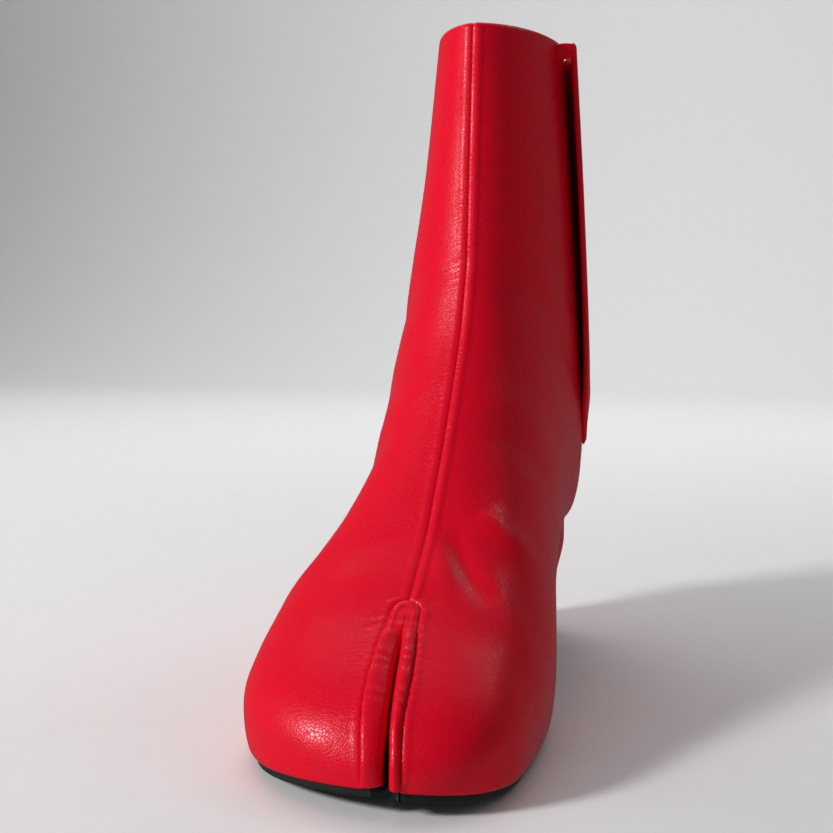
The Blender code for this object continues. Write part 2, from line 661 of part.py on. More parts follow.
def build():
    """Clear the scene and make every piece of the boot."""
    for old in list(bpy.data.objects):
        bpy.data.objects.remove(old, do_unlink=True)
    boot = bpy.data.collections.new("split_toe_ankle_boot")
    cutters = bpy.data.collections.new("cutters")
    bpy.context.scene.collection.children.link(boot)
    bpy.context.scene.collection.children.link(cutters)
    leather = make_material("red_leather", (0.72, 0.004, 0.022), 0.42)
    sole_leather = make_material("black_sole_leather", (0.018, 0.016, 0.015), 0.55)
    lining = make_material("pale_lining", (0.55, 0.42, 0.30), 0.7)
    rubber = make_material("black_rubber", (0.015, 0.015, 0.015), 0.8)
    make_outsole(boot, cutters, sole_leather)
    make_heel(boot, cutters, leather, rubber)
    make_insole(boot, cutters, lining)
    make_upper(boot, cutters, leather)
    make_flap(boot, leather)
    for cutter in cutters.objects:
        cutter.hide_render = True
        cutter.display_type = "WIRE"


ORIGIN = plan_middle()
build()
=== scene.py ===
"""Split-toe ankle boot: fine leather skins, seams, lips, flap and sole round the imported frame.

Shapes are worked out in last coordinates: x from the front seam to the medial side, y back from the toe
tip, z up from the floor, in metres. ORIGIN takes them into the frame.
"""

import math
from collections import namedtuple

import bmesh
import bpy
import numpy as np
from bpy.props import FloatProperty, FloatVectorProperty, PointerProperty
from bpy.types import Operator, Panel, PropertyGroup
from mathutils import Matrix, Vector


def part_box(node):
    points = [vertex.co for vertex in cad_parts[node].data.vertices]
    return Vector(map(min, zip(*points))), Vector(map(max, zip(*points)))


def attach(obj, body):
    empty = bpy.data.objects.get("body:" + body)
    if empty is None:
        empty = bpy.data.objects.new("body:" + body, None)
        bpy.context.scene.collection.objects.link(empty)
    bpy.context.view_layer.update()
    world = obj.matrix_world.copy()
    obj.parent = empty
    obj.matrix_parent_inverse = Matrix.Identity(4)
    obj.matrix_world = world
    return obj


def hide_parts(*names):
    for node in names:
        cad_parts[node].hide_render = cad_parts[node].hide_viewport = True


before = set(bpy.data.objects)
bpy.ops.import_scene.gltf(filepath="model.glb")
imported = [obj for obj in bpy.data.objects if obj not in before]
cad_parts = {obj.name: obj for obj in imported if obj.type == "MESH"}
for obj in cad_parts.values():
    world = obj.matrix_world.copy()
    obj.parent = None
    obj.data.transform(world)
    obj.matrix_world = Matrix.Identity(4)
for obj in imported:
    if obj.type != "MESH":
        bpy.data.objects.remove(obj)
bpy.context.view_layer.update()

bl_info = {
    "name": "Split-Toe Ankle Boot",
    "version": (1, 0, 0),
    "blender": (4, 5, 0),
    "location": "View3D > Sidebar > Boot",
    "description": "Builds the skins, seams, flap, sole and stage of a split-toe ankle boot",
    "category": "Add Mesh",
}

# Where the outsole is flat on the floor and where the heel seat begins, as shares of the length
FLAT_FRONT = 0.15
FLAT_BACK = 0.34
SEAT_FRONT = 0.83
SPRING_POWER = 1.6

# The toe's sections stand upright, each at a share of the toe depth, on a blunt plan outline
TOE_STATIONS = (0.0, 0.012, 0.05, 0.12, 0.24, 0.42, 0.62, 0.82, 1.0)
TOE_BLUNTNESS = 3.1
TOE_NOSE_SHARE = 0.060
TOE_NOSE_POWER = 2.2
TOE_FEATHER = 0.94
TOE_WIDEST = (0.34, 0.30)
TOE_ROUNDNESS = (2.25, 2.10)
CLEFT_LEAN_POWER = 1.3

FootRow = namedtuple("FootRow", "girth ridge_back ridge_up keel_back lateral medial widest roundness "
                     "feather")
FOOT_ROWS = (
    FootRow("ball", 0.15, 0.12, 0.350, 0.93, 0.98, 0.31, 2.05, 0.93),
    FootRow("ball", 0.34, 0.28, 0.430, 0.81, 0.92, 0.32, 2.00, 0.90),
    FootRow("ball", 0.62, 0.55, 0.570, 0.67, 0.82, 0.36, 1.95, 0.82),
    FootRow("ankle", 0.83, 0.78, 0.720, 0.93, 0.93, 0.40, 1.90, 0.78),
    FootRow("ankle", 0.95, 0.98, 0.850, 0.98, 0.95, 0.41, 1.85, 0.77),
)

ShaftRow = namedtuple("ShaftRow", "rise keel_back keel_up narrow_lateral narrow_medial widest feather")
SHAFT_ROWS = (
    ShaftRow(0.10, 0.930, 0.000, 0.02, 0.10, 0.42, 0.66),
    ShaftRow(0.13, 0.970, 0.000, 0.04, 0.10, 0.42, 0.47),
    ShaftRow(0.16, 0.990, 0.000, 0.06, 0.10, 0.43, 0.26),
    ShaftRow(0.19, 0.998, 0.020, 0.08, 0.10, 0.43, 0.10),
    ShaftRow(0.24, 1.001, 0.090, 0.12, 0.14, 0.44, 0.00),
    ShaftRow(0.33, 1.000, 0.200, 0.24, 0.24, 0.45, 0.00),
    ShaftRow(0.60, 0.980, 0.500, 0.62, 0.50, 0.47, 0.00),
    ShaftRow(1.00, 0.968, 1.000, 1.00, 1.00, 0.49, 0.00),
)
SHAFT_ROUNDNESS = 1.8
HEEL_TIP = 0.995
INSET_LIMIT = 0.4
FEATHER_LIMIT = 0.97

# Places round a section: 0 at the ridge, 1 at the keel, with the widest point and the flat bottom
WIDEST_PLACE = 0.52
BOTTOM_SHARE = 0.20
BOTTOM_FADE = 0.5
SHAFT_START = 0.5

# The cleft's gusset: its breadth on either side of the cleft at shares of the cleft's depth, and where
# its legs end, its cap ends and its two rolls grow together
GussetRow = namedtuple("GussetRow", "back lateral medial")
GUSSET_ROWS = (
    GussetRow(0.00, 0.0068, 0.0049),
    GussetRow(0.13, 0.0078, 0.0046),
    GussetRow(0.28, 0.0083, 0.0051),
    GussetRow(0.45, 0.0080, 0.0057),
    GussetRow(0.65, 0.0072, 0.0056),
    GussetRow(0.80, 0.0065, 0.0051),
    GussetRow(0.95, 0.0055, 0.0047),
)
GUSSET_LEGS_END = 0.95
GUSSET_CAP = 0.0056
GUSSET_CAP_ROUNDNESS = 2.4
GUSSET_JOIN_START = 0.72
GUSSET_JOIN_END = 0.86
GUSSET_PUCKER = 0.0047
PUCKER_PITCH = 0.0031
PUCKER_DEPTH = 0.00008

# Main creases: three points each as shares of ball width, boot length and collar height, then
# depth (up is positive) and half breadth in metres
Crease = namedtuple("Crease", "start middle end height breadth")
CREASES = (
    Crease((0.076, 0.307, 0.285), (0.150, 0.248, 0.229), (0.270, 0.226, 0.195), -0.0018, 0.0047),
    Crease((0.160, 0.335, 0.300), (0.245, 0.325, 0.275), (0.340, 0.340, 0.235), 0.0018, 0.0060),
    Crease((0.050, 0.300, 0.280), (0.086, 0.260, 0.244), (0.110, 0.228, 0.210), 0.0008, 0.0042),
    Crease((0.200, 0.275, 0.225), (0.270, 0.235, 0.190), (0.330, 0.225, 0.150), 0.0008, 0.0060),
    Crease((-0.020, 0.470, 0.440), (-0.200, 0.480, 0.415), (-0.340, 0.520, 0.375), 0.0009, 0.0055),
    Crease((-0.030, 0.440, 0.400), (-0.210, 0.455, 0.375), (-0.350, 0.490, 0.335), -0.0008, 0.0055),
    Crease((0.080, 0.470, 0.450), (0.220, 0.490, 0.420), (0.330, 0.560, 0.380), 0.0007, 0.0060),
    Crease((0.100, 0.430, 0.400), (0.240, 0.450, 0.365), (0.340, 0.530, 0.325), -0.0009, 0.0060),
    Crease((-0.040, 0.300, 0.285), (-0.180, 0.300, 0.240), (-0.330, 0.340, 0.190), -0.0006, 0.0065),
    Crease((-0.040, 0.186, 0.193), (-0.085, 0.190, 0.190), (-0.130, 0.205, 0.185), -0.0005, 0.0013),
    Crease((-0.050, 0.178, 0.189), (-0.090, 0.178, 0.184), (-0.130, 0.180, 0.176), -0.0005, 0.0013),
    Crease((-0.055, 0.168, 0.184), (-0.090, 0.164, 0.178), (-0.120, 0.160, 0.170), -0.0004, 0.0012),
    Crease((0.048, 0.196, 0.200), (0.080, 0.205, 0.200), (0.110, 0.220, 0.200), -0.0004, 0.0013),
    Crease((-0.100, 0.230, 0.220), (-0.260, 0.250, 0.185), (-0.420, 0.300, 0.130), 0.0006, 0.0070),
)
CREASE_POINTS, CREASE_FADE, CREASE_END = 21, 0.7, 0.02

PANEL_SHARES = np.concatenate([np.linspace(0.0, 0.05, 22), np.linspace(0.05, 1.0, 92)[1:]])
SLIT_PLACE = 0.585
SLIT_FOOT_HALF = 0.004
SLIT_COLUMN = int(np.searchsorted(PANEL_SHARES, SLIT_PLACE)) - 1
SLIT_FADE = 0.03
SLIT_LEAST_HALF = 0.0005

# Panels: rows in the nose and behind it, how they crowd forward, the share of the lasting margin that is
# turned in, and where the two panels close under the back
NOSE_ROWS, BODY_ROWS = 130, 190
NOSE_CROWDING, BODY_CROWDING = 1.3, 1.1
MARGIN_SHOWN = 0.5
PANEL_SKIN = 0.7
BACK_FROM, BACK_CLOSED, BACK_FADE = 0.5, 0.75, 0.3

# Beside the gusset the bands along the seam are nearer and lower, and small puckers cross the seam
GUSSET_SIDE_END, GUSSET_SIDE_FADE = 0.9, 0.3
BAND_NEARER, BAND_LOWER, BAND_HALF, MEDIAL_BAND = 0.3, 0.4, 0.55, 1.8
PUCKER_REACH = 0.0022
RIM_STEPS, FACING_STEPS, FACING_DEPTH = 9, 5, 0.006

# Gusset: grid, the rolls of each side (-1 lateral, 1 medial), and the slot between them
GUSSET_GRID, CAP_ROWS, WALL_ROWS = (120, 34), 14, 12
SLICE_COUNT, NEAREST_SLICE, SLICES_PAST, GUSSET_SKIN = 40, 0.00008, 1.1, 0.0006
Lip = namedtuple("Lip", "crown fall height")
LIPS = {-1: Lip(0.62, 1.0, 0.9), 1: Lip(0.95, 0.2, 1.1)}
LIP_FULLNESS, LIP_FALL_POWER, JOINED_HEIGHT, JOINED_DIP = 0.75, 4, 0.75, 0.12
PUCKER_HEIGHT, PUCKER_DRIFT, PUCKER_DRIFT_RATE, SEAM_TURN = 0.05, 1.5, 480.0, 0.25
SLOT_PLACES, SLOT_SHARES, SLOT_SHUT = (0.0, 0.12, 0.62, 0.80), (0.9, 0.5, 0.4), 0.0001

# Lining: grid, from behind the cleft up to just under the rolled collar
LINING_GRID, LINING_START, LINING_TOP, LINING_SKIN = (110, 121), 1.15, 0.9995, 0.0003

# Flap: grid, how its free edge springs off the shaft, and how its back thins out
FLAP_GRID = (110, 70)
STAND_OFF_POWER = 0.8
FLAP_SPRING_REACH, FLAP_SPRING_POWER, FLAP_FOOT_LIFT = 0.85, 1.4, 0.35
FLAP_THIN_REACH, FLAP_BACK_LIFT = 0.012, 0.15

# Web at the collar between the shaft and the flap's free edge
WEB_GRID = (12, 14)
WEB_LOW, WEB_HIGH = 0.983, 0.999
WEB_BEHIND_EDGE, WEB_ON_FLAP, WEB_STEP, WEB_GAP = 0.018, 0.004, 0.01, 0.0002
WEB_BOW, WEB_BOW_FOOT, WEB_BOW_TOP, WEB_FORWARD = 0.0012, -1.0, 0.35, 0.0008
WEB_THICKNESS, WEB_EDGE = 0.0011, 0.0005

# Outsole and heel
SOLE_STATIONS, SOLE_FACE_ROWS, SOLE_MOUTH = 420, 14, 0.3
HEEL_SIDES, HEEL_ROWS, HEEL_EDGE, HEEL_GAP = 128, 40, 0.0006, 0.0001
HEEL_PLACES, HEEL_WAIST = (0.0, 0.42, 0.85, 1.0), 1.1
TOP_PIECE_BEVEL, TOP_PIECE_ROUND = 0.0008, 0.3


def ease(share):
    """Smooth step from 0 to 1."""
    held = np.clip(share, 0.0, 1.0)
    return held * held * (3.0 - 2.0 * held)


def smooth_table(stations, table, wanted):
    """Monotone cubic through the table's rows, with harmonic mean slopes."""
    span = np.diff(stations)[:, None]
    slope = np.diff(table, axis=0) / span
    tangent = np.zeros_like(table)
    tangent[0] = slope[0]
    tangent[-1] = slope[-1]
    before = 2.0 * span[1:] + span[:-1]
    after = span[1:] + 2.0 * span[:-1]
    steady = slope[:-1] * slope[1:] > 0.0
    safe_before = np.where(steady, slope[:-1], 1.0)
    safe_after = np.where(steady, slope[1:], 1.0)
    mean = (before + after) / (before / safe_before + after / safe_after)
    tangent[1:-1] = np.where(steady, mean, 0.0)
    index = np.clip(np.searchsorted(stations, wanted) - 1, 0, len(stations) - 2)
    width = (stations[index + 1] - stations[index])[:, None]
    share = (wanted[:, None] - stations[index][:, None]) / width
    start = (1.0 + 2.0 * share) * (1.0 - share) ** 2 * table[index]
    start_pull = share * (1.0 - share) ** 2 * width * tangent[index]
    end = share ** 2 * (3.0 - 2.0 * share) * table[index + 1]
    end_pull = share ** 2 * (share - 1.0) * width * tangent[index + 1]
    return start + start_pull + end + end_pull


class Last:
    """The boot's form: sections that fan from the toe tip round the instep up to the collar."""

    def __init__(self, size):
        self.size = size
        self.table = np.array(self.toe_sections() + self.foot_sections() + self.shaft_sections())
        ridge = np.hypot(np.diff(self.table[:, 0]), np.diff(self.table[:, 1]))
        keel_z = self.sole_top(self.table[:, 2]) + self.table[:, 3]
        keel = np.hypot(np.diff(self.table[:, 2]), np.diff(keel_z))
        travel = np.concatenate([[0.0], np.cumsum(np.sqrt(ridge + keel))])
        self.stations = travel / travel[-1]
        self.ball = self.stations[len(TOE_STATIONS) - 1]
        self.toe_along = np.linspace(0.0, self.ball, 4000)
        self.toe = smooth_table(self.stations, self.table, self.toe_along)

    def sole_top(self, y):
        """Height of the outsole's upper face: toe spring, flat forefoot, arch, heel seat."""
        size = self.size
        front = FLAT_FRONT * size.boot_length
        back = FLAT_BACK * size.boot_length
        seat = SEAT_FRONT * size.boot_length
        spring = size.toe_spring * np.maximum((front - y) / front, 0.0) ** SPRING_POWER
        arch = (size.seat_height - size.sole_thickness) * ease((y - back) / (seat - back))
        return size.sole_thickness + spring + arch

    def cleft_line(self, y):
        """How far the cleft leans to the medial side at a distance from the toe tip."""
        size = self.size
        return size.cleft_lean * np.clip(1.0 - y / size.cleft_depth, 0.0, 1.0) ** CLEFT_LEAN_POWER

    def toe_sections(self):
        """Upright sections from the toe tip to the ball."""
        size = self.size
        rows = []
        for station in TOE_STATIONS:
            y = size.toe_depth * station
            half = math.sqrt(1.0 - (1.0 - station) ** TOE_BLUNTNESS)
            top = np.interp(y, (0.0, size.cleft_depth, size.toe_depth),
                            (size.toe_height, size.cleft_height, size.vamp_height))
            reach = min(1.0, y / (TOE_NOSE_SHARE * size.boot_length))
            nose = (1.0 - (1.0 - reach) ** TOE_NOSE_POWER) ** (1.0 / TOE_NOSE_POWER)
            base = float(self.sole_top(y)) + size.clearance
            ridge = base + size.clearance + (top - base) * nose
            rows.append([y, ridge, y, size.clearance, float(self.cleft_line(y)), size.ball_lateral * half,
                         size.ball_medial * half, np.interp(station, (0.0, 1.0), TOE_WIDEST),
                         np.interp(station, (0.0, 1.0), TOE_ROUNDNESS), TOE_FEATHER])
        return rows

    def foot_sections(self):
        """Sections that fan round the instep, from the ball to the throat."""
        size = self.size
        half = {"ball": (size.ball_lateral, size.ball_medial),
                "ankle": (size.ankle_lateral, size.ankle_medial)}
        rows = []
        for row in FOOT_ROWS:
            lateral, medial = half[row.girth]
            y = size.toe_depth + (size.throat_back - size.toe_depth) * row.ridge_back
            z = size.vamp_height + (size.throat_height - size.vamp_height) * row.ridge_up
            rows.append([y, z, row.keel_back * size.boot_length, size.clearance, 0.0, lateral * row.lateral,
                         medial * row.medial, row.widest, row.roundness, row.feather])
        return rows

    def shaft_sections(self):
        """Sections from the heel's corner up to the collar."""
        size = self.size
        rows = []
        for row in SHAFT_ROWS:
            y = size.throat_back + size.collar_lean * row.rise
            z = size.throat_height + (size.collar_height - size.throat_height) * row.rise
            lift = size.clearance + (size.collar_height - size.seat_height - size.clearance) * row.keel_up
            lateral = size.ankle_lateral + (size.collar_lateral - size.ankle_lateral) * row.narrow_lateral
            medial = size.ankle_medial + (size.collar_medial - size.ankle_medial) * row.narrow_medial
            rows.append([y, z, row.keel_back * size.boot_length, lift, 0.0, lateral, medial, row.widest,
                         SHAFT_ROUNDNESS, row.feather])
        return rows

    def inset_table(self, wall):
        """The sections drawn in by a wall: narrower, and shorter from ridge to keel and at the toe."""
        table = self.table.copy()
        reach = table[:, 0:2] - table[:, 2:4] - np.outer(self.sole_top(table[:, 2]), [0.0, 1.0])
        length = np.linalg.norm(reach, axis=1, keepdims=True)
        draw = reach / length * np.minimum(wall, INSET_LIMIT * length)
        table[:, 0:2] -= draw
        table[:, 2:4] += draw
        nose = TOE_NOSE_SHARE * self.size.boot_length
        back = wall * np.clip(1.0 - self.table[:, 0] / nose, 0.0, 1.0) ** 2
        table[:, 0] += back
        table[:, 2] += back
        flat = table[:, 5:7].mean(axis=1) * table[:, 9]
        table[:, 5:7] = np.maximum(table[:, 5:7] - wall, 0.0)
        width = np.maximum(table[:, 5:7].mean(axis=1), wall)
        table[:, 9] = np.clip((flat - wall) / width, 0.0, FEATHER_LIMIT)
        return table

    def surface(self, along, around, wall=0.0):
        """Points of the form. along runs 0 to 1 from toe to collar, around -1 to 1 from the keel over
        the lateral side, the ridge at 0 and the medial side to the keel. Above the widest place a
        section is a quarter superellipse, below it a quarter ellipse down to the flat bottom."""
        shape = np.broadcast(along, around).shape
        along = np.broadcast_to(along, shape)
        around = np.broadcast_to(around, shape)
        sections = self.inset_table(wall) if wall > 0.0 else self.table
        table = smooth_table(self.stations, sections, along.ravel()).reshape(shape + (10,))
        ridge_y, ridge_z, keel_y, lift, centre = np.moveaxis(table[..., :5], -1, 0)
        lateral, medial, widest, roundness, feather = np.moveaxis(table[..., 5:], -1, 0)
        keel_z = self.sole_top(keel_y) + lift
        half = np.where(around > 0.0, medial, lateral)
        place = np.abs(around)
        bottom = 1.0 - BOTTOM_SHARE * np.clip(feather / BOTTOM_FADE, 0.0, 1.0)
        top_turn = np.clip(place / WIDEST_PLACE, 0.0, 1.0) * math.pi / 2.0
        side_turn = np.clip((place - WIDEST_PLACE) / (bottom - WIDEST_PLACE), 0.0, 1.0) * math.pi / 2.0
        flat = np.clip((place - bottom) / np.maximum(1.0 - bottom, 1e-6), 0.0, 1.0)
        top_out = half * np.sin(top_turn) ** (2.0 / roundness)
        side_out = half * (feather + (1.0 - feather) * np.cos(side_turn)) * (1.0 - flat)
        top_up = widest + (1.0 - widest) * np.cos(top_turn) ** (2.0 / roundness)
        side_up = widest * (1.0 - np.sin(side_turn))
        over = place < WIDEST_PLACE
        out = np.where(over, top_out, side_out)
        up = np.where(over, top_up, side_up)
        x = centre + np.sign(around) * out
        y = keel_y + (ridge_y - keel_y) * up
        z = keel_z + (ridge_z - keel_z) * up
        return np.stack([x, y, z], axis=-1)

    def along_at_toe(self, y):
        """Share along the form of the upright toe section at y."""
        return np.interp(y, self.toe[:, 0], self.toe_along)

    def along_at_height(self, around, height):
        """Shares along the form at which it reaches a height, for each place round it."""
        climb = np.linspace(SHAFT_START, 1.0, 160)
        found = [np.interp(height, self.surface(climb, np.full_like(climb, place))[:, 2], climb)
                 for place in np.ravel(around)]
        return np.reshape(found, np.shape(around))

    def toe_slice(self, distance, side, back, count):
        """Profile at a distance beside the cleft's line: from the flat bottom's edge round the nose and
        back to y = back. Returns y and z at equal shares of its length."""
        half = self.toe[:, 5] if side < 0 else self.toe[:, 6]
        turn = np.linspace(math.pi / 2.0, 0.0, 30)
        needed = distance / (TOE_FEATHER + (1.0 - TOE_FEATHER) * np.cos(turn))
        low = np.interp(needed, half, self.toe_along)
        start = low[-1]
        end = self.along_at_toe(back)
        high = start + (end - start) * np.linspace(0.0, 1.0, 600) ** 2
        along = np.concatenate([low, high[1:]])
        y, ridge_z, lift, widest, roundness, reach = [np.interp(along, self.toe_along, values) for values in (
            self.toe[:, 0], self.toe[:, 1], self.toe[:, 3], self.toe[:, 7], self.toe[:, 8], half)]
        keel_z = self.sole_top(y) + lift
        sine = np.clip(distance / np.maximum(reach, 1e-7), 0.0, 1.0) ** (roundness / 2.0)
        over = widest + (1.0 - widest) * np.sqrt(1.0 - sine ** 2) ** (2.0 / roundness)
        under = widest * (1.0 - np.sin(np.concatenate([turn, np.zeros(len(high) - 1)])))
        up = np.where(np.arange(len(along)) < len(low), under, over)
        z = keel_z + (ridge_z - keel_z) * up
        length = np.concatenate([[0.0], np.cumsum(np.hypot(np.diff(y), np.diff(z)))])
        wanted = np.linspace(0.0, length[-1], count)
        return np.interp(wanted, length, y), np.interp(wanted, length, z)

    def toe_height_at(self, distance, side, y):
        """Height of the upper toe surface at a distance beside the cleft's line, for y behind the nose."""
        along = self.along_at_toe(y)
        half = np.interp(along, self.toe_along, self.toe[:, 5] if side < 0 else self.toe[:, 6])
        ridge_z, lift, widest, roundness = [np.interp(along, self.toe_along, self.toe[:, column])
                                            for column in (1, 3, 7, 8)]
        keel_z = self.sole_top(y) + lift
        sine = np.clip(distance / half, 0.0, 1.0) ** (roundness / 2.0)
        up = widest + (1.0 - widest) * np.sqrt(1.0 - sine ** 2) ** (2.0 / roundness)
        return keel_z + (ridge_z - keel_z) * up


def gusset_breadth(last, y, side):
    """Distance of the gusset's outer seam from the cleft's line, with its rounded cap behind the legs."""
    size = last.size
    back = np.array([row.back for row in GUSSET_ROWS]) * size.cleft_depth
    breadth = np.array([row.lateral if side < 0 else row.medial for row in GUSSET_ROWS])
    legs = np.interp(y, back, breadth)
    over = np.clip((y - GUSSET_LEGS_END * size.cleft_depth) / GUSSET_CAP, 0.0, 1.0)
    return legs * (1.0 - over ** GUSSET_CAP_ROUNDNESS) ** (1.0 / GUSSET_CAP_ROUNDNESS)


def grid_normals(grid):
    """Unit normals of a grid of points: rows' direction crossed with the columns' direction."""
    down = np.gradient(grid, axis=0)
    across = np.gradient(grid, axis=1)
    cross = np.cross(down, across)
    return cross / np.maximum(np.linalg.norm(cross, axis=-1, keepdims=True), 1e-12)


def crease_height(last, points):
    """Soft troughs and ridges: each falls off as a bell with the distance from its curve, and it fades
    out towards its two ends."""
    size = last.size
    scale = np.array([size.ball_lateral + size.ball_medial, size.boot_length, size.collar_height])
    total = np.zeros(points.shape[:-1])
    share = np.linspace(0.0, 1.0, CREASE_POINTS)[:, None]
    for crease in CREASES:
        start, middle, end = [np.array(place) * scale for place in (crease.start, crease.middle, crease.end)]
        curve = (1.0 - share) ** 2 * start + 2.0 * share * (1.0 - share) * middle + share ** 2 * end
        gap = np.linalg.norm(points[..., None, :] - curve, axis=-1)
        nearest = gap.argmin(axis=-1)
        held = np.clip(share[:, 0], CREASE_END, 1.0 - CREASE_END)
        fade = np.sin(math.pi * held)[nearest] ** CREASE_FADE
        total += crease.height * fade * np.exp(-(gap.min(axis=-1) / crease.breadth) ** 2)
    return total


def add_piece(name, points, faces, material, uv=None, sharp=None):
    """Mesh object at the origin from points in last coordinates."""
    mesh = bpy.data.meshes.new(name)
    placed = (np.asarray(points) - ORIGIN).astype(np.float32)
    mesh.from_pydata(placed.tolist(), [], np.asarray(faces).tolist())
    if uv is not None:
        layer = mesh.uv_layers.new(name="skin")
        corner = np.empty(len(mesh.loops), dtype=np.int32)
        mesh.loops.foreach_get("vertex_index", corner)
        layer.data.foreach_set("uv", np.asarray(uv, dtype=np.float32)[corner].ravel())
    mesh.materials.append(material)
    mesh.shade_smooth()
    if sharp is not None:
        mesh.set_sharp_from_angle(angle=math.radians(sharp))
    mesh.validate()
    piece = bpy.data.objects.new(name, mesh)
    bpy.context.scene.collection.objects.link(piece)
    return piece


def grid_faces(rows, columns, flip=False, wrap_columns=False):
    """Quads of a grid numbered row by row, as an array of four corners each."""
    row = np.arange(rows - 1)[:, None]
    column = np.arange(columns if wrap_columns else columns - 1)[None, :]
    next_row = row + 1
    next_column = (column + 1) % columns
    faces = np.stack([row * columns + column, row * columns + next_column, next_row * columns + next_column,
                      next_row * columns + column], axis=-1).reshape(-1, 4)
    return faces[:, ::-1] if flip else faces


def weld(piece, distance=0.00001):
    """Merge doubles and drop the faces that have no area."""
    work = bmesh.new()
    work.from_mesh(piece.data)
    bmesh.ops.remove_doubles(work, verts=work.verts, dist=distance)
    bmesh.ops.dissolve_degenerate(work, edges=work.edges, dist=distance / 2.0)
    work.to_mesh(piece.data)
    work.free()


def thicken(piece, thickness):
    """Solidify modifier that gives a skin its wall on the inner side."""
    step = piece.modifiers.new("wall", "SOLIDIFY")
    step.thickness = thickness
    step.offset = -1.0
    step.use_even_offset = False


def points_height(last, along):
    """Height of the form at the slit's place, for each share along."""
    return last.surface(along, np.full_like(along, SLIT_PLACE))[:, 2]


def slit_start(last):
    """Height of the slit's foot."""
    size = last.size
    return size.seat_height + size.flap_foot_rise + size.slit_above_foot


def part_at_slit(last, height, around, start, end, share):
    """Column places with two neighbours moved to the slit's edges: straight runs from the seam to the
    slit and from the slit to the panel's far side, blended in from below the slit's foot."""
    size = last.size
    near = np.searchsorted(share, SLIT_PLACE) - 1
    climb = np.clip((height - slit_start(last)) / (size.collar_height - slit_start(last)), 0.0, 1.0)
    half = size.slit_width / (2.0 * (size.ankle_lateral + size.ankle_medial)) * np.sqrt(climb)
    half = np.maximum(half + SLIT_FOOT_HALF * (climb > 0.0), SLIT_LEAST_HALF)
    low, high = SLIT_PLACE - half, SLIT_PLACE + half
    first = start[:, None] + (low - start)[:, None] * share[None, :near + 1] / share[near]
    past = (share[None, near + 1:] - share[near + 1]) / (1.0 - share[near + 1])
    second = high[:, None] + (end - high)[:, None] * past
    blend = ease((height - slit_start(last) + SLIT_FADE) / SLIT_FADE)[:, None]
    return around + (np.concatenate([first, second], axis=1) - around) * blend


def panel_grid(last, side):
    """Points of one panel's outside, from the seam to the turned-in margin, and its distances from the
    seam. Rows start where the section is as wide as the gusset, and columns crowd towards the seam."""
    size = last.size
    half = last.toe[:, 5] if side < 0 else last.toe[:, 6]
    breadth = gusset_breadth(last, last.toe[:, 0], side)
    first = last.toe_along[np.argmax(half > breadth)]
    cap_end = last.along_at_toe(GUSSET_LEGS_END * size.cleft_depth + GUSSET_CAP)
    nose = first + (cap_end - first) * np.linspace(0.0, 1.0, NOSE_ROWS) ** NOSE_CROWDING
    rest = cap_end + (1.0 - cap_end) * np.linspace(0.0, 1.0, BODY_ROWS)[1:] ** BODY_CROWDING
    along = np.concatenate([nose, rest])[:, None]
    table = smooth_table(last.stations, last.table, along[:, 0])
    y = table[:, 0]
    reach = table[:, 5] if side < 0 else table[:, 6]
    in_toe = along[:, 0] <= cap_end
    edge = np.where(in_toe, gusset_breadth(last, y, side), 0.0)
    ratio = np.clip(edge / reach, 0.0, 1.0)
    start = WIDEST_PLACE * np.arcsin(ratio ** (table[:, 8] / 2.0)) * 2.0 / math.pi
    feather = table[:, 9]
    bottom = 1.0 - BOTTOM_SHARE * np.clip(feather / BOTTOM_FADE, 0.0, 1.0)
    cosine = np.clip((ratio - feather) / (1.0 - feather), 0.0, 1.0)
    crossing = WIDEST_PLACE + np.arccos(cosine) * 2.0 / math.pi * (bottom - WIDEST_PLACE)
    room = np.maximum(reach * feather, 1e-6)
    turned_in = np.minimum(size.lasting_margin * MARGIN_SHOWN / room, 1.0 - edge / room)
    turned_in = np.clip(turned_in, 0.0, 1.0)
    at_back = (y > BACK_FROM * size.boot_length) * ease((BACK_CLOSED - feather) / BACK_FADE)
    turned_in = np.maximum(turned_in, at_back)
    end = np.where(ratio > feather, crossing, bottom + (1.0 - bottom) * turned_in)
    share = PANEL_SHARES[None, :]
    around = start[:, None] + (end - start)[:, None] * share
    if side > 0:
        around = part_at_slit(last, points_height(last, along[:, 0]), around, start, end, share[0])
    points = last.surface(along, side * around)
    step = np.linalg.norm(np.diff(points, axis=1), axis=-1)
    distance = np.concatenate([np.zeros((len(points), 1)), np.cumsum(step, axis=1)], axis=1)
    return points, along, around, distance


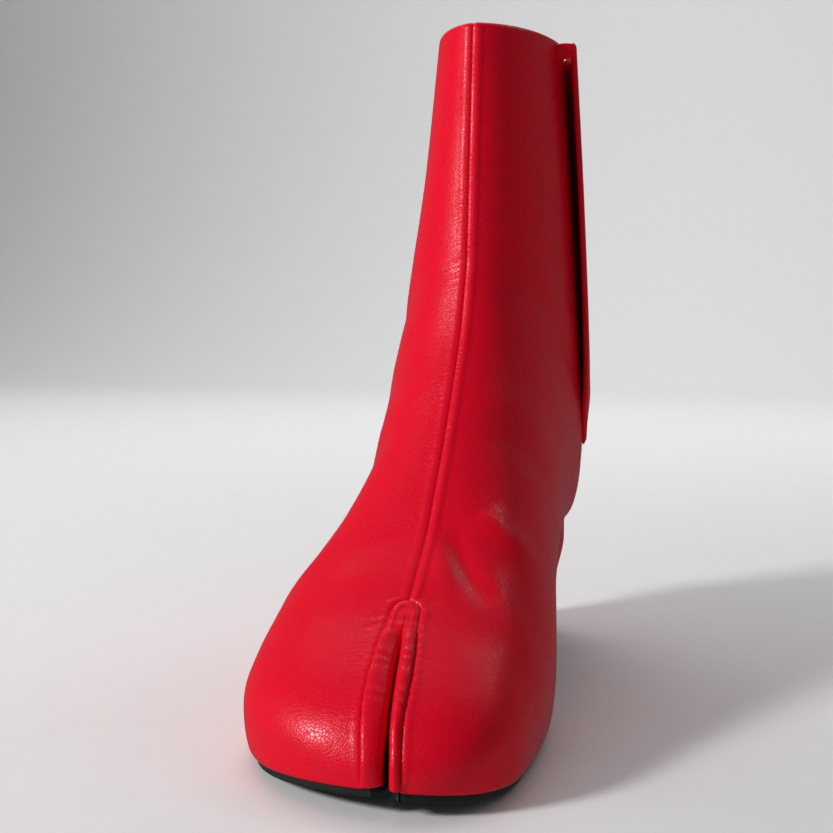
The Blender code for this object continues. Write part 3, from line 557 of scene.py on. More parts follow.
def dressed_panel(last, side):
    """Panel with its seam groove, the bands beside the seam, creases and rolled collar."""
    size = last.size
    points, along, around, distance = panel_grid(last, side)
    normal = grid_normals(points) * (-side)
    past_gusset = points[..., 1] - GUSSET_SIDE_END * size.cleft_depth
    beside_gusset = 1.0 - ease(past_gusset / (GUSSET_SIDE_FADE * size.cleft_depth))
    groove = -size.seam_depth * np.exp(-(distance / size.seam_breadth) ** 2)
    band_place = size.band_breadth * (1.0 - BAND_NEARER * beside_gusset)
    band = size.band_height * np.exp(-((distance - band_place) / (BAND_HALF * size.band_breadth)) ** 2)
    band = band * (MEDIAL_BAND if side > 0 else 1.0) * (1.0 - BAND_LOWER * beside_gusset)
    pucker = np.sin(2.0 * math.pi * points[..., 1] / PUCKER_PITCH)
    pucker = pucker * np.exp(-(distance / PUCKER_REACH) ** 2)
    height = groove + band + PUCKER_DEPTH * pucker * beside_gusset + crease_height(last, points)
    points = points + normal * height[..., None]
    turn = np.linspace(0.0, math.pi, RIM_STEPS)[1:, None, None]
    rim = points[-1]
    inward = -normal[-1]
    rise = np.array([0.0, 0.0, 1.0])
    roll = rim + size.rim_radius * ((1.0 - np.cos(turn)) * inward + np.sin(turn) * rise)
    facing = roll[-1:] - np.linspace(0.0, FACING_DEPTH, FACING_STEPS)[1:, None, None] * rise
    points = np.concatenate([points, roll, facing])
    return points, distance


def make_panel(last, name, side, material):
    """One side's leather panel, replacing its part of the upper."""
    points, distance = dressed_panel(last, side)
    rows, columns = points.shape[:2]
    step = np.linalg.norm(np.diff(points[:, columns // 2], axis=0), axis=1)
    length = np.concatenate([[0.0], np.cumsum(step)])
    seam = np.concatenate([distance, np.repeat(distance[-1:], rows - len(distance), axis=0)])
    uv = np.stack([seam, np.broadcast_to(length[:, None], seam.shape)], axis=-1).reshape(-1, 2)
    faces = grid_faces(rows, columns, flip=side > 0)
    if side > 0:
        column = SLIT_COLUMN
        in_slit = (np.arange(len(faces)) % (columns - 1) == column) & (
            points.reshape(-1, 3)[faces][:, :, 2].min(axis=1) > slit_start(last))
        faces = faces[~in_slit]
    piece = add_piece(name, points.reshape(-1, 3), faces, material, uv)
    thicken(piece, last.size.upper_wall * PANEL_SKIN)
    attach(piece, "root")
    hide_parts("upper")
    return piece


def gusset_side(last, side, rows, columns):
    """Base points of one leg and half the cap: rows from the mouth to the cap's end, columns from the
    outer seam to the cleft's edge."""
    size = last.size
    legs_end = GUSSET_LEGS_END * size.cleft_depth
    widest = max(row.lateral for row in GUSSET_ROWS) * SLICES_PAST
    distances = np.linspace(NEAREST_SLICE, widest, SLICE_COUNT)
    slices = np.array([last.toe_slice(distance, side, legs_end, rows) for distance in distances])
    centre_y = slices[SLICE_COUNT // 2, 0]
    breadth = gusset_breadth(last, centre_y, side)[:, None]
    gaps = [size.cleft_gap * share for share in SLOT_SHARES] + [SLOT_SHUT]
    gap = np.interp(centre_y, np.array(SLOT_PLACES) * size.cleft_depth, gaps)[:, None]
    across = (1.0 + np.cos(np.linspace(0.0, math.pi, columns)))[None, :] / 2.0
    distance = gap + (breadth - gap) * across
    place = (distance - distances[0]) / (distances[1] - distances[0])
    low = np.clip(place.astype(int), 0, len(distances) - 2)
    part = np.clip(place - low, 0.0, 1.0)
    row = np.arange(rows)[:, None]
    y = slices[low, 0, row] * (1.0 - part) + slices[low + 1, 0, row] * part
    z = slices[low, 1, row] * (1.0 - part) + slices[low + 1, 1, row] * part
    x = last.cleft_line(y) + side * distance
    legs = np.stack([x, y, z], axis=-1)
    turn = np.linspace(0.0, math.pi / 2.0, CAP_ROWS)[1:, None]
    reach = distance[-1:]
    bend = 2.0 / GUSSET_CAP_ROUNDNESS
    cap_distance = reach * np.maximum(np.cos(turn), 0.0) ** bend
    cap_y = legs_end + reach * np.sin(turn) ** bend * GUSSET_CAP / breadth[-1]
    cap_z = last.toe_height_at(cap_distance, side, cap_y)
    cap = np.stack([last.cleft_line(cap_y) + side * cap_distance, cap_y, cap_z], axis=-1)
    return np.concatenate([legs, cap])


def make_gusset(last, material, shade_painted_material):
    """Gusset round the cleft: two rolls with rounded tops that grow together behind the slot, and the
    walls that go down between the toes to the sole. The walls take a much darker copy of the leather:
    painted shade in the slot."""
    size = last.size
    rows, columns = GUSSET_GRID
    halves = []
    for side in (-1, 1):
        base = gusset_side(last, side, rows, columns)
        normal = grid_normals(base) * side
        turn = np.linspace(0.0, math.pi, columns)[None, :]
        joined = ease((base[..., 1] / size.cleft_depth - GUSSET_JOIN_START)
                      / (GUSSET_JOIN_END - GUSSET_JOIN_START))
        inward = turn / math.pi
        lip = LIPS[side]
        roll = np.maximum(np.sin(math.pi * inward ** lip.crown), 0.0) ** LIP_FULLNESS
        mound = np.sin(np.minimum(turn, math.pi / 2.0)) ** LIP_FULLNESS
        mound = mound * (1.0 - JOINED_DIP * (turn > math.pi / 2.0))
        fall = lip.fall * inward ** LIP_FALL_POWER
        lift = (roll * lip.height - fall) * (1.0 - joined) + JOINED_HEIGHT * mound * joined
        drift = PUCKER_DRIFT * np.sin(base[..., 1] * PUCKER_DRIFT_RATE)
        wave = np.sin(2.0 * math.pi * base[..., 1] / GUSSET_PUCKER + drift)
        lift = size.lip_raise * lift * (1.0 + PUCKER_HEIGHT * wave)
        lift = lift - size.seam_depth * np.exp(-(turn / SEAM_TURN) ** 2)
        base = base + normal * lift[..., None]
        edge = base[:, -1]
        depth = np.linspace(0.0, 1.0, WALL_ROWS)[1:, None, None]
        run = np.linspace(0.0, 1.0, len(edge))[:, None]
        foot_y = np.maximum(run[:, 0] * size.cleft_depth, edge[:, 1])
        foot = np.stack([edge[:, 0], foot_y, last.sole_top(foot_y) + size.clearance], axis=-1)
        wall = edge[None] + (foot - edge)[None] * depth
        halves.append(np.concatenate([base, np.moveaxis(wall, 0, 1)], axis=1))
    lateral, medial = halves
    points = np.concatenate([lateral, medial[::-1][1:]])
    across = np.linalg.norm(np.diff(points, axis=1), axis=-1).cumsum(axis=1)
    across = np.concatenate([np.zeros((len(points), 1)), across], axis=1)
    length = np.concatenate([[0.0], np.cumsum(np.linalg.norm(np.diff(points[:, 4], axis=0), axis=1))])
    uv = np.stack([across, np.broadcast_to(length[:, None], across.shape)], axis=-1).reshape(-1, 2)
    faces = grid_faces(*points.shape[:2])
    piece = add_piece("toe_gusset", points.reshape(-1, 3), faces, material, uv)
    # The walls down the slot get the second, much darker material: painted shade between the toes
    piece.data.materials.append(shade_painted_material)
    corners = np.empty(len(piece.data.loops), dtype=np.int32)
    piece.data.loops.foreach_get("vertex_index", corners)
    starts = np.empty(len(piece.data.polygons), dtype=np.int32)
    piece.data.polygons.foreach_get("loop_start", starts)
    painted_shade_faces = corners[starts] % points.shape[1] >= columns
    piece.data.polygons.foreach_set("material_index", painted_shade_faces.astype(np.int32))
    thicken(piece, GUSSET_SKIN)
    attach(piece, "root")
    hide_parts("upper")
    return piece


def make_lining(last, material):
    """Lining: the form's inside a wall in, from the collar down to behind the cleft, facing inwards."""
    size = last.size
    start = last.along_at_toe(LINING_START * size.cleft_depth)
    along = np.linspace(start, LINING_TOP, LINING_GRID[0])[:, None]
    around = np.linspace(-1.0, 1.0, LINING_GRID[1])[None, :]
    points = last.surface(along, around, size.upper_wall)
    points[:, -1] = points[:, 0]
    faces = grid_faces(*points.shape[:2], flip=True)
    piece = add_piece("upper_lining", points.reshape(-1, 3), faces, material)
    weld(piece)
    thicken(piece, LINING_SKIN)
    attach(piece, "root")
    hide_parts("upper")
    return piece


def crowd(count, power=1.6):
    """Shares from 0 to 1 that crowd towards both ends."""
    even = np.linspace(-1.0, 1.0, count)
    return 0.5 + 0.5 * np.sign(even) * (1.0 - (1.0 - np.abs(even)) ** power)


def flap_stand_off(size, climb):
    """How far the flap's free edge stands off the shaft at a share of its height."""
    return size.stand_off_foot + (size.stand_off_top - size.stand_off_foot) * climb ** STAND_OFF_POWER


def make_flap(last, material):
    """Closure flap: a thick sheet with rounded edges over the medial side of the shaft. Its free edge
    faces forward and stands off, and its back edge thins out into the shaft."""
    size = last.size
    climb = crowd(FLAP_GRID[0])[:, None]
    across = crowd(FLAP_GRID[1])[None, :]
    corner = np.clip(1.0 - climb / size.flap_corner, 0.0, 1.0)
    front = size.flap_front + size.flap_corner_set_back * (1.0 - np.sqrt(1.0 - corner ** 2))
    around = front + (size.flap_back - front) * across
    foot = last.along_at_height(around[:1], size.seat_height + size.flap_foot_rise)
    along = foot + (1.0 - foot) * climb
    base = last.surface(along, around)
    normal = -grid_normals(base)
    stand_off = flap_stand_off(size, climb)
    spring = np.clip(1.0 - across / FLAP_SPRING_REACH, 0.0, 1.0) ** FLAP_SPRING_POWER
    thickness = size.flap_thickness
    lifted = ease(climb / size.flap_corner + FLAP_FOOT_LIFT)
    middle = size.clearance + stand_off * spring * lifted + thickness / 2.0
    step_across = np.linalg.norm(np.diff(base, axis=1), axis=-1)
    reach = np.concatenate([np.zeros((len(base), 1)), np.cumsum(step_across, axis=1)], axis=1)
    step_up = np.linalg.norm(np.diff(base, axis=0), axis=-1)
    rise = np.concatenate([np.zeros((1, base.shape[1])), np.cumsum(step_up, axis=0)])
    half = thickness / 2.0
    near = np.minimum(np.minimum(reach, rise), rise[-1:] - rise)
    held = np.clip(near / half, 0.0, 1.0)
    thin_back = np.clip((reach[:, -1:] - reach) / FLAP_THIN_REACH, 0.0, 1.0)
    skin = half * np.sqrt(1.0 - (1.0 - held) ** 2) * ease(thin_back)
    middle = middle * (FLAP_BACK_LIFT + (1.0 - FLAP_BACK_LIFT) * ease(thin_back))
    outer = base + normal * (middle + skin)[..., None]
    inner = base + normal * (middle - skin)[..., None]
    rows, columns = outer.shape[:2]
    points = np.concatenate([outer.reshape(-1, 3), inner.reshape(-1, 3)])
    faces = np.concatenate([grid_faces(rows, columns, flip=True), grid_faces(rows, columns) + rows * columns])
    uv = np.stack([reach, rise], axis=-1).reshape(-1, 2)
    piece = add_piece("closure_flap_leather", points, faces, material, np.concatenate([uv, uv]))
    weld(piece)
    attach(piece, "root")
    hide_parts("closure_flap")
    return piece


def make_flap_web(last, material):
    """Web at the collar: straight lines from the panel to the flap's free edge, bowed down at its
    foot and a little up at its top."""
    size = last.size
    rows, columns = WEB_GRID
    climb = np.linspace(WEB_LOW, WEB_HIGH, rows)[:, None]
    across = np.linspace(0.0, 1.0, columns)[None, :]
    foot = last.along_at_height(np.array([size.flap_front]), size.seat_height + size.flap_foot_rise)
    along = foot + (1.0 - foot) * climb
    around = np.full_like(along, size.flap_front - WEB_BEHIND_EDGE)
    outer_around = np.full_like(along, size.flap_front + WEB_ON_FLAP)
    strip = last.surface(along, outer_around + np.array([[-WEB_STEP, 0.0, WEB_STEP]]))
    normal = -grid_normals(strip)[:, 1]
    start = last.surface(along, around)[:, 0] + WEB_GAP * normal
    stand_off = flap_stand_off(size, climb)
    end = strip[:, 1] + normal * (size.clearance + stand_off + 0.5 * size.flap_thickness)
    points = start[:, None] + (end - start)[:, None] * across[..., None]
    bow = WEB_BOW * np.sin(math.pi * across) * np.linspace(WEB_BOW_FOOT, WEB_BOW_TOP, rows)[:, None]
    points[..., 2] += bow
    points[..., 1] -= WEB_FORWARD * np.sin(math.pi * across)
    piece = add_piece("closure_web", points.reshape(-1, 3), grid_faces(rows, columns), material)
    step = piece.modifiers.new("wall", "SOLIDIFY")
    step.thickness = WEB_THICKNESS
    step.offset = 0.0
    edge = piece.modifiers.new("edge", "BEVEL")
    edge.width = WEB_EDGE
    edge.segments = 3
    edge.limit_method = "ANGLE"
    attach(piece, "root")
    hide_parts("closure_flap")


def sole_outline(last, count, side):
    """Outline of one half of the sole in plan: stations from the mouth of the cleft round to the heel,
    with x at the outer edge and unit normals that point inwards."""
    along = np.linspace(0.0002, 1.0, 6000)
    table = smooth_table(last.stations, last.table, along)
    kept = table[table[:, 3] <= 2.0 * last.size.clearance]
    y = kept[:, 2]
    half = (kept[:, 5] if side < 0 else kept[:, 6]) * kept[:, 9]
    x = kept[:, 4] + side * half
    turn = np.linspace(0.0, math.pi / 2.0, 60)[1:]
    tip = last.size.boot_length * HEEL_TIP
    y = np.concatenate([y, y[-1] + (tip - y[-1]) * np.sin(turn)])
    x = np.concatenate([x, x[-1] * np.cos(turn)])
    length = np.concatenate([[0.0], np.cumsum(np.hypot(np.diff(x), np.diff(y)))])
    wanted = np.linspace(0.0, length[-1], count)
    x = np.interp(wanted, length, x)
    y = np.interp(wanted, length, y)
    ahead = np.stack([np.gradient(x), np.gradient(y)], axis=1)
    ahead /= np.linalg.norm(ahead, axis=1, keepdims=True)
    inward = np.stack([-side * ahead[:, 1], side * ahead[:, 0]], axis=1)
    return np.stack([x, y], axis=1), inward


def make_outsole(last, material):
    """Thin outsole in two lobes that join behind the cleft: flat faces between the outer edge's rounded
    profile and the notch, for each half."""
    size = last.size
    thickness = size.sole_thickness
    bevel = size.sole_bevel
    turn = np.linspace(0.0, math.pi / 2.0, 6)
    top = [(bevel * (1.0 - math.sin(a)), -bevel * (1.0 - math.cos(a))) for a in turn]
    foot = [(bevel * (1.0 - math.cos(a)), -thickness + bevel * (1.0 - math.sin(a))) for a in turn]
    profile = top + foot
    for side, name in ((-1, "outsole_lateral"), (1, "outsole_medial")):
        edge, inward = sole_outline(last, SOLE_STATIONS, side)
        flare = np.clip(1.0 - edge[:, 1] / (SOLE_MOUTH * size.cleft_depth), 0.0, 1.0)
        notch = size.cleft_gap / 2.0 + size.cleft_mouth * flare ** 2
        notch = notch * (edge[:, 1] < size.cleft_depth)
        inner_x = last.cleft_line(edge[:, 1]) + side * notch
        keep = side * (edge[:, 0] - inner_x) > 0.0
        keep[-1] = True
        edge, inward, inner_x = edge[keep], inward[keep], inner_x[keep]
        rings = []
        for inset, height in profile:
            moved = edge + inset * inward
            rings.append(np.column_stack([moved, last.sole_top(moved[:, 1]) + height]))
        share = np.linspace(0.0, 1.0, SOLE_FACE_ROWS)[1:, None, None]
        inner = np.stack([inner_x, edge[:, 1]], axis=1)
        flat_top = edge + profile[0][0] * inward
        flat_foot = edge + profile[-1][0] * inward
        over = flat_top + (inner - flat_top) * share
        under = flat_foot + (inner - flat_foot) * share
        over = np.concatenate([over, last.sole_top(over[..., 1:2])], axis=-1)
        under = np.concatenate([under, last.sole_top(under[..., 1:2]) - thickness], axis=-1)
        loop = np.concatenate([over[::-1], np.array(rings), under])
        grid = np.moveaxis(loop, 0, 1)
        faces = grid_faces(*grid.shape[:2], flip=side < 0, wrap_columns=True)
        piece = add_piece(name, grid.reshape(-1, 3), faces, material, sharp=40.0)
        weld(piece)
        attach(piece, "root")
        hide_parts("outsole")


def make_heel(last, leather, rubber):
    """Heel block from the top piece to the sole's underside, and the top piece with rounded edges."""
    size = last.size
    centre_y = size.boot_length * HEEL_TIP - size.heel_back_inset - size.heel_radius
    angle = np.linspace(0.0, 2.0 * math.pi, HEEL_SIDES, endpoint=False)[None, :]
    share = np.concatenate([[0.0, 0.0], np.linspace(0.0, 1.0, HEEL_ROWS), [1.0]])[:, None]
    foot_radius = size.heel_radius - size.heel_taper
    waist = size.heel_radius - HEEL_WAIST * size.heel_taper
    radius = smooth_table(np.array(HEEL_PLACES),
                          np.array([[foot_radius], [waist], [size.heel_radius], [size.heel_radius]]),
                          share[:, 0])
    radius[0] = 0.0
    radius[1] = foot_radius - HEEL_EDGE
    radius[-1] = 0.0
    radius = radius + 0.0 * angle
    x = radius * np.sin(angle)
    y = centre_y + radius * np.cos(angle)
    low = size.top_piece_thickness + 0.5 * size.clearance
    high = last.sole_top(y) - size.sole_thickness - HEEL_GAP
    z = low + (high - low) * share
    z[2] += HEEL_EDGE
    points = np.stack([x, y, z], axis=-1)
    rows, columns = points.shape[:2]
    uv = np.stack([radius * angle, z], axis=-1).reshape(-1, 2)
    faces = grid_faces(rows, columns, flip=True, wrap_columns=True)
    block = add_piece("heel_cover", points.reshape(-1, 3), faces, leather, uv, sharp=60.0)
    weld(block)
    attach(block, "root")
    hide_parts("heel_block")
    bevel = TOP_PIECE_BEVEL
    small = TOP_PIECE_ROUND * bevel
    top = size.top_piece_thickness
    profile = np.array([(0.0, 0.0), (foot_radius - bevel, 0.0), (foot_radius - small, small),
                        (foot_radius, bevel), (foot_radius, top - small), (foot_radius - small, top),
                        (0.0, top)])
    x = profile[:, :1] * np.sin(angle)
    y = centre_y + profile[:, :1] * np.cos(angle)
    z = profile[:, 1:] + 0.0 * angle
    points = np.stack([x, y, z], axis=-1)
    faces = grid_faces(*points.shape[:2], flip=True, wrap_columns=True)
    tip = add_piece("heel_tip", points.reshape(-1, 3), faces, rubber, sharp=30.0)
    weld(tip)
    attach(tip, "root")
    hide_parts("heel_top_piece")


def new_group(name, inputs, outputs):
    """Shader node group with named sockets. inputs are (name, kind, default), outputs (name, kind)."""
    group = bpy.data.node_groups.new(name, "ShaderNodeTree")
    for label, kind, default in inputs:
        socket = group.interface.new_socket(label, in_out="INPUT", socket_type=kind)
        socket.default_value = default
    for label, kind in outputs:
        group.interface.new_socket(label, in_out="OUTPUT", socket_type=kind)
    return group, group.nodes.new("NodeGroupInput"), group.nodes.new("NodeGroupOutput")


def math_node(tree, operation, first, second):
    """Math node fed by sockets or numbers. Returns its output."""
    node = tree.nodes.new("ShaderNodeMath")
    node.operation = operation
    for index, value in enumerate((first, second)):
        if isinstance(value, (int, float)):
            node.inputs[index].default_value = value
        else:
            tree.links.new(value, node.inputs[index])
    return node.outputs[0]


def noise_node(tree, vector, scale, detail, roughness=0.5):
    """Noise texture on a vector. Returns its value."""
    node = tree.nodes.new("ShaderNodeTexNoise")
    node.inputs["Detail"].default_value = detail
    node.inputs["Roughness"].default_value = roughness
    tree.links.new(vector, node.inputs["Vector"])
    if isinstance(scale, (int, float)):
        node.inputs["Scale"].default_value = scale
    else:
        tree.links.new(scale, node.inputs["Scale"])
    return node.outputs["Fac"]


# Leather grain: warp of the cells, how steeply their edges rise, and the finer and softer noise
GRAIN_WARP_SCALE, GRAIN_WARP = 500.0, 0.0009
CELL_STEEPNESS, CELL_ROUNDNESS, CELL_SHARE = 6.0, 0.6, 0.8
FINE_SCALE, FINE_SHARE, CLOUD_SCALE = 2600.0, 0.35, 38.0

# Wrinkles across a seam: fall-off and stretch away from it, and how they come and go along it
WRINKLE_FALL, WRINKLE_STRETCH, WRINKLE_SCALE = -170.0, 0.13, 620.0
WRINKLE_RUN_SCALE, WRINKLE_RUN_LOW, WRINKLE_RUN_GAIN, WRINKLE_LEAST = 28.0, 0.42, 5.0, 0.12

# Leather: what valleys and clouds do to colour and roughness, and the strength and distance of relief
VALLEY_COLOUR, CLOUD_COLOUR = 0.75, 0.25
ROUGHNESS_UNDER, CLOUD_ROUGHNESS, VALLEY_ROUGHNESS = 0.06, 0.10, 0.35
GRAIN_RELIEF, SOFT_SCALE, SOFT_STRENGTH, SOFT_RELIEF = 0.00016, 120.0, 0.20, 0.0005
WRINKLE_STRENGTH, WRINKLE_RELIEF, LEATHER_SPECULAR = 0.7, 0.0008, 0.36

# Plain grained solids: the broad noise, what the fine noise does to roughness, and the relief
BROAD_SCALE, PLAIN_UNDER, PLAIN_ROUGHNESS, PLAIN_RELIEF = 45.0, 0.08, 0.16, 0.0001


def grain_group():
    """Pebbled leather grain: rounded cells with fine valleys between them, over softer unevenness."""
    group, source, target = new_group(
        "leather_grain",
        [("Vector", "NodeSocketVector", (0.0, 0.0, 0.0)), ("Cell Scale", "NodeSocketFloat", 900.0)],
        [("Grain", "NodeSocketFloat"), ("Valleys", "NodeSocketFloat"), ("Cloud", "NodeSocketFloat")])
    links = group.links
    warp = group.nodes.new("ShaderNodeTexNoise")
    warp.inputs["Scale"].default_value = GRAIN_WARP_SCALE
    warp.inputs["Detail"].default_value = 2.0
    links.new(source.outputs["Vector"], warp.inputs["Vector"])
    shift = group.nodes.new("ShaderNodeVectorMath")
    shift.operation = "SCALE"
    shift.inputs["Scale"].default_value = GRAIN_WARP
    links.new(warp.outputs["Color"], shift.inputs[0])
    moved = group.nodes.new("ShaderNodeVectorMath")
    moved.operation = "ADD"
    links.new(source.outputs["Vector"], moved.inputs[0])
    links.new(shift.outputs[0], moved.inputs[1])
    cells = group.nodes.new("ShaderNodeTexVoronoi")
    cells.feature = "DISTANCE_TO_EDGE"
    links.new(moved.outputs[0], cells.inputs["Vector"])
    links.new(source.outputs["Cell Scale"], cells.inputs["Scale"])
    rounded = math_node(group, "POWER", math_node(group, "MINIMUM", math_node(
        group, "MULTIPLY", cells.outputs["Distance"], CELL_STEEPNESS), 1.0), CELL_ROUNDNESS)
    fine = noise_node(group, source.outputs["Vector"], FINE_SCALE, 3.0)
    grain = math_node(group, "ADD", math_node(group, "MULTIPLY", rounded, CELL_SHARE), math_node(
        group, "MULTIPLY", fine, FINE_SHARE))
    links.new(grain, target.inputs["Grain"])
    links.new(math_node(group, "SUBTRACT", 1.0, rounded), target.inputs["Valleys"])
    links.new(noise_node(group, source.outputs["Vector"], CLOUD_SCALE, 3.0), target.inputs["Cloud"])
    return group


def wrinkle_group():
    """Short wrinkles across a seam: stretched noise that fades with the distance from the seam and comes
    and goes along it. The vector is the panel's UV: distance from the seam, and length along it."""
    group, source, target = new_group("seam_wrinkles", [("Vector", "NodeSocketVector", (0.0, 0.0, 0.0))],
                                      [("Height", "NodeSocketFloat")])
    split = group.nodes.new("ShaderNodeSeparateXYZ")
    group.links.new(source.outputs["Vector"], split.inputs[0])
    fade = math_node(group, "POWER", 2.718, math_node(group, "MULTIPLY", split.outputs[0], WRINKLE_FALL))
    join = group.nodes.new("ShaderNodeCombineXYZ")
    group.links.new(math_node(group, "MULTIPLY", split.outputs[0], WRINKLE_STRETCH), join.inputs[0])
    group.links.new(split.outputs[1], join.inputs[1])
    lines = noise_node(group, join.outputs[0], WRINKLE_SCALE, 2.0)
    place = group.nodes.new("ShaderNodeCombineXYZ")
    group.links.new(split.outputs[1], place.inputs[1])
    reach = math_node(group, "MULTIPLY", math_node(group, "SUBTRACT", noise_node(
        group, place.outputs[0], WRINKLE_RUN_SCALE, 1.0), WRINKLE_RUN_LOW), WRINKLE_RUN_GAIN)
    reach = math_node(group, "MINIMUM", math_node(group, "MAXIMUM", reach, WRINKLE_LEAST), 1.0)
    height = math_node(group, "MULTIPLY", math_node(group, "MULTIPLY", lines, fade), reach)
    group.links.new(height, target.inputs["Height"])
    return group


def use_group(tree, group, **values):
    """Place a node group and set its inputs."""
    node = tree.nodes.new("ShaderNodeGroup")
    node.node_tree = group
    for label, value in values.items():
        node.inputs[label.replace("_", " ")].default_value = value
    return node


def mix_colour(tree, factor, first, second):
    """Mix two colours by a varying factor. Returns the result."""
    node = tree.nodes.new("ShaderNodeMix")
    node.data_type = "RGBA"
    tree.links.new(factor, node.inputs["Factor"])
    for socket, value in ((node.inputs[6], first), (node.inputs[7], second)):
        if isinstance(value, tuple):
            socket.default_value = value
        else:
            tree.links.new(value, socket)
    return node.outputs[2]


def leather_material(name, colour, shade, roughness, cell_scale, relief, sheen, seamed=False):
    """Grained leather: colour deepens in the valleys and in soft clouds, and roughness follows both."""
    material = bpy.data.materials.new(name)
    material.use_nodes = True
    tree = material.node_tree
    shader = tree.nodes["Principled BSDF"]
    place = tree.nodes.new("ShaderNodeTexCoord")
    grain = use_group(tree, bpy.data.node_groups["leather_grain"], Cell_Scale=cell_scale)
    tree.links.new(place.outputs["Object"], grain.inputs["Vector"])
    factor = math_node(tree, "ADD", math_node(tree, "MULTIPLY", grain.outputs["Valleys"], VALLEY_COLOUR),
                       math_node(tree, "MULTIPLY", grain.outputs["Cloud"], CLOUD_COLOUR))
    tree.links.new(mix_colour(tree, factor, (*colour, 1.0), (*shade, 1.0)), shader.inputs["Base Color"])
    rough = math_node(tree, "ADD", roughness - ROUGHNESS_UNDER,
                      math_node(tree, "MULTIPLY", grain.outputs["Cloud"], CLOUD_ROUGHNESS))
    rough = math_node(tree, "ADD", rough,
                      math_node(tree, "MULTIPLY", grain.outputs["Valleys"], VALLEY_ROUGHNESS))
    tree.links.new(rough, shader.inputs["Roughness"])
    bump = tree.nodes.new("ShaderNodeBump")
    bump.inputs["Strength"].default_value = relief
    bump.inputs["Distance"].default_value = GRAIN_RELIEF
    tree.links.new(grain.outputs["Grain"], bump.inputs["Height"])
    soft = tree.nodes.new("ShaderNodeBump")
    soft.inputs["Strength"].default_value = SOFT_STRENGTH
    soft.inputs["Distance"].default_value = SOFT_RELIEF
    tree.links.new(noise_node(tree, place.outputs["Object"], SOFT_SCALE, 3.0), soft.inputs["Height"])
    below = soft
    if seamed:
        wrinkles = use_group(tree, bpy.data.node_groups["seam_wrinkles"])
        tree.links.new(place.outputs["UV"], wrinkles.inputs["Vector"])
        below = tree.nodes.new("ShaderNodeBump")
        below.inputs["Strength"].default_value = WRINKLE_STRENGTH
        below.inputs["Distance"].default_value = WRINKLE_RELIEF
        tree.links.new(wrinkles.outputs["Height"], below.inputs["Height"])
        tree.links.new(soft.outputs["Normal"], below.inputs["Normal"])
    tree.links.new(below.outputs["Normal"], bump.inputs["Normal"])
    tree.links.new(bump.outputs["Normal"], shader.inputs["Normal"])
    shader.inputs["Specular IOR Level"].default_value = LEATHER_SPECULAR
    shader.inputs["Specular Tint"].default_value = (*sheen, 1.0)
    return material


def plain_grained_material(name, colour, shade, roughness, scale, relief):
    """Close-grained solid such as rubber or waxed sole leather: fine noise in colour and relief."""
    material = bpy.data.materials.new(name)
    material.use_nodes = True
    tree = material.node_tree
    shader = tree.nodes["Principled BSDF"]
    place = tree.nodes.new("ShaderNodeTexCoord")
    fine = noise_node(tree, place.outputs["Object"], scale, 5.0, 0.6)
    broad = noise_node(tree, place.outputs["Object"], BROAD_SCALE, 3.0)
    tree.links.new(mix_colour(tree, broad, (*colour, 1.0), (*shade, 1.0)), shader.inputs["Base Color"])
    varied = math_node(tree, "MULTIPLY", fine, PLAIN_ROUGHNESS)
    tree.links.new(math_node(tree, "ADD", roughness - PLAIN_UNDER, varied), shader.inputs["Roughness"])
    bump = tree.nodes.new("ShaderNodeBump")
    bump.inputs["Strength"].default_value = relief
    bump.inputs["Distance"].default_value = PLAIN_RELIEF
    tree.links.new(fine, bump.inputs["Height"])
    tree.links.new(bump.outputs["Normal"], shader.inputs["Normal"])
    return material


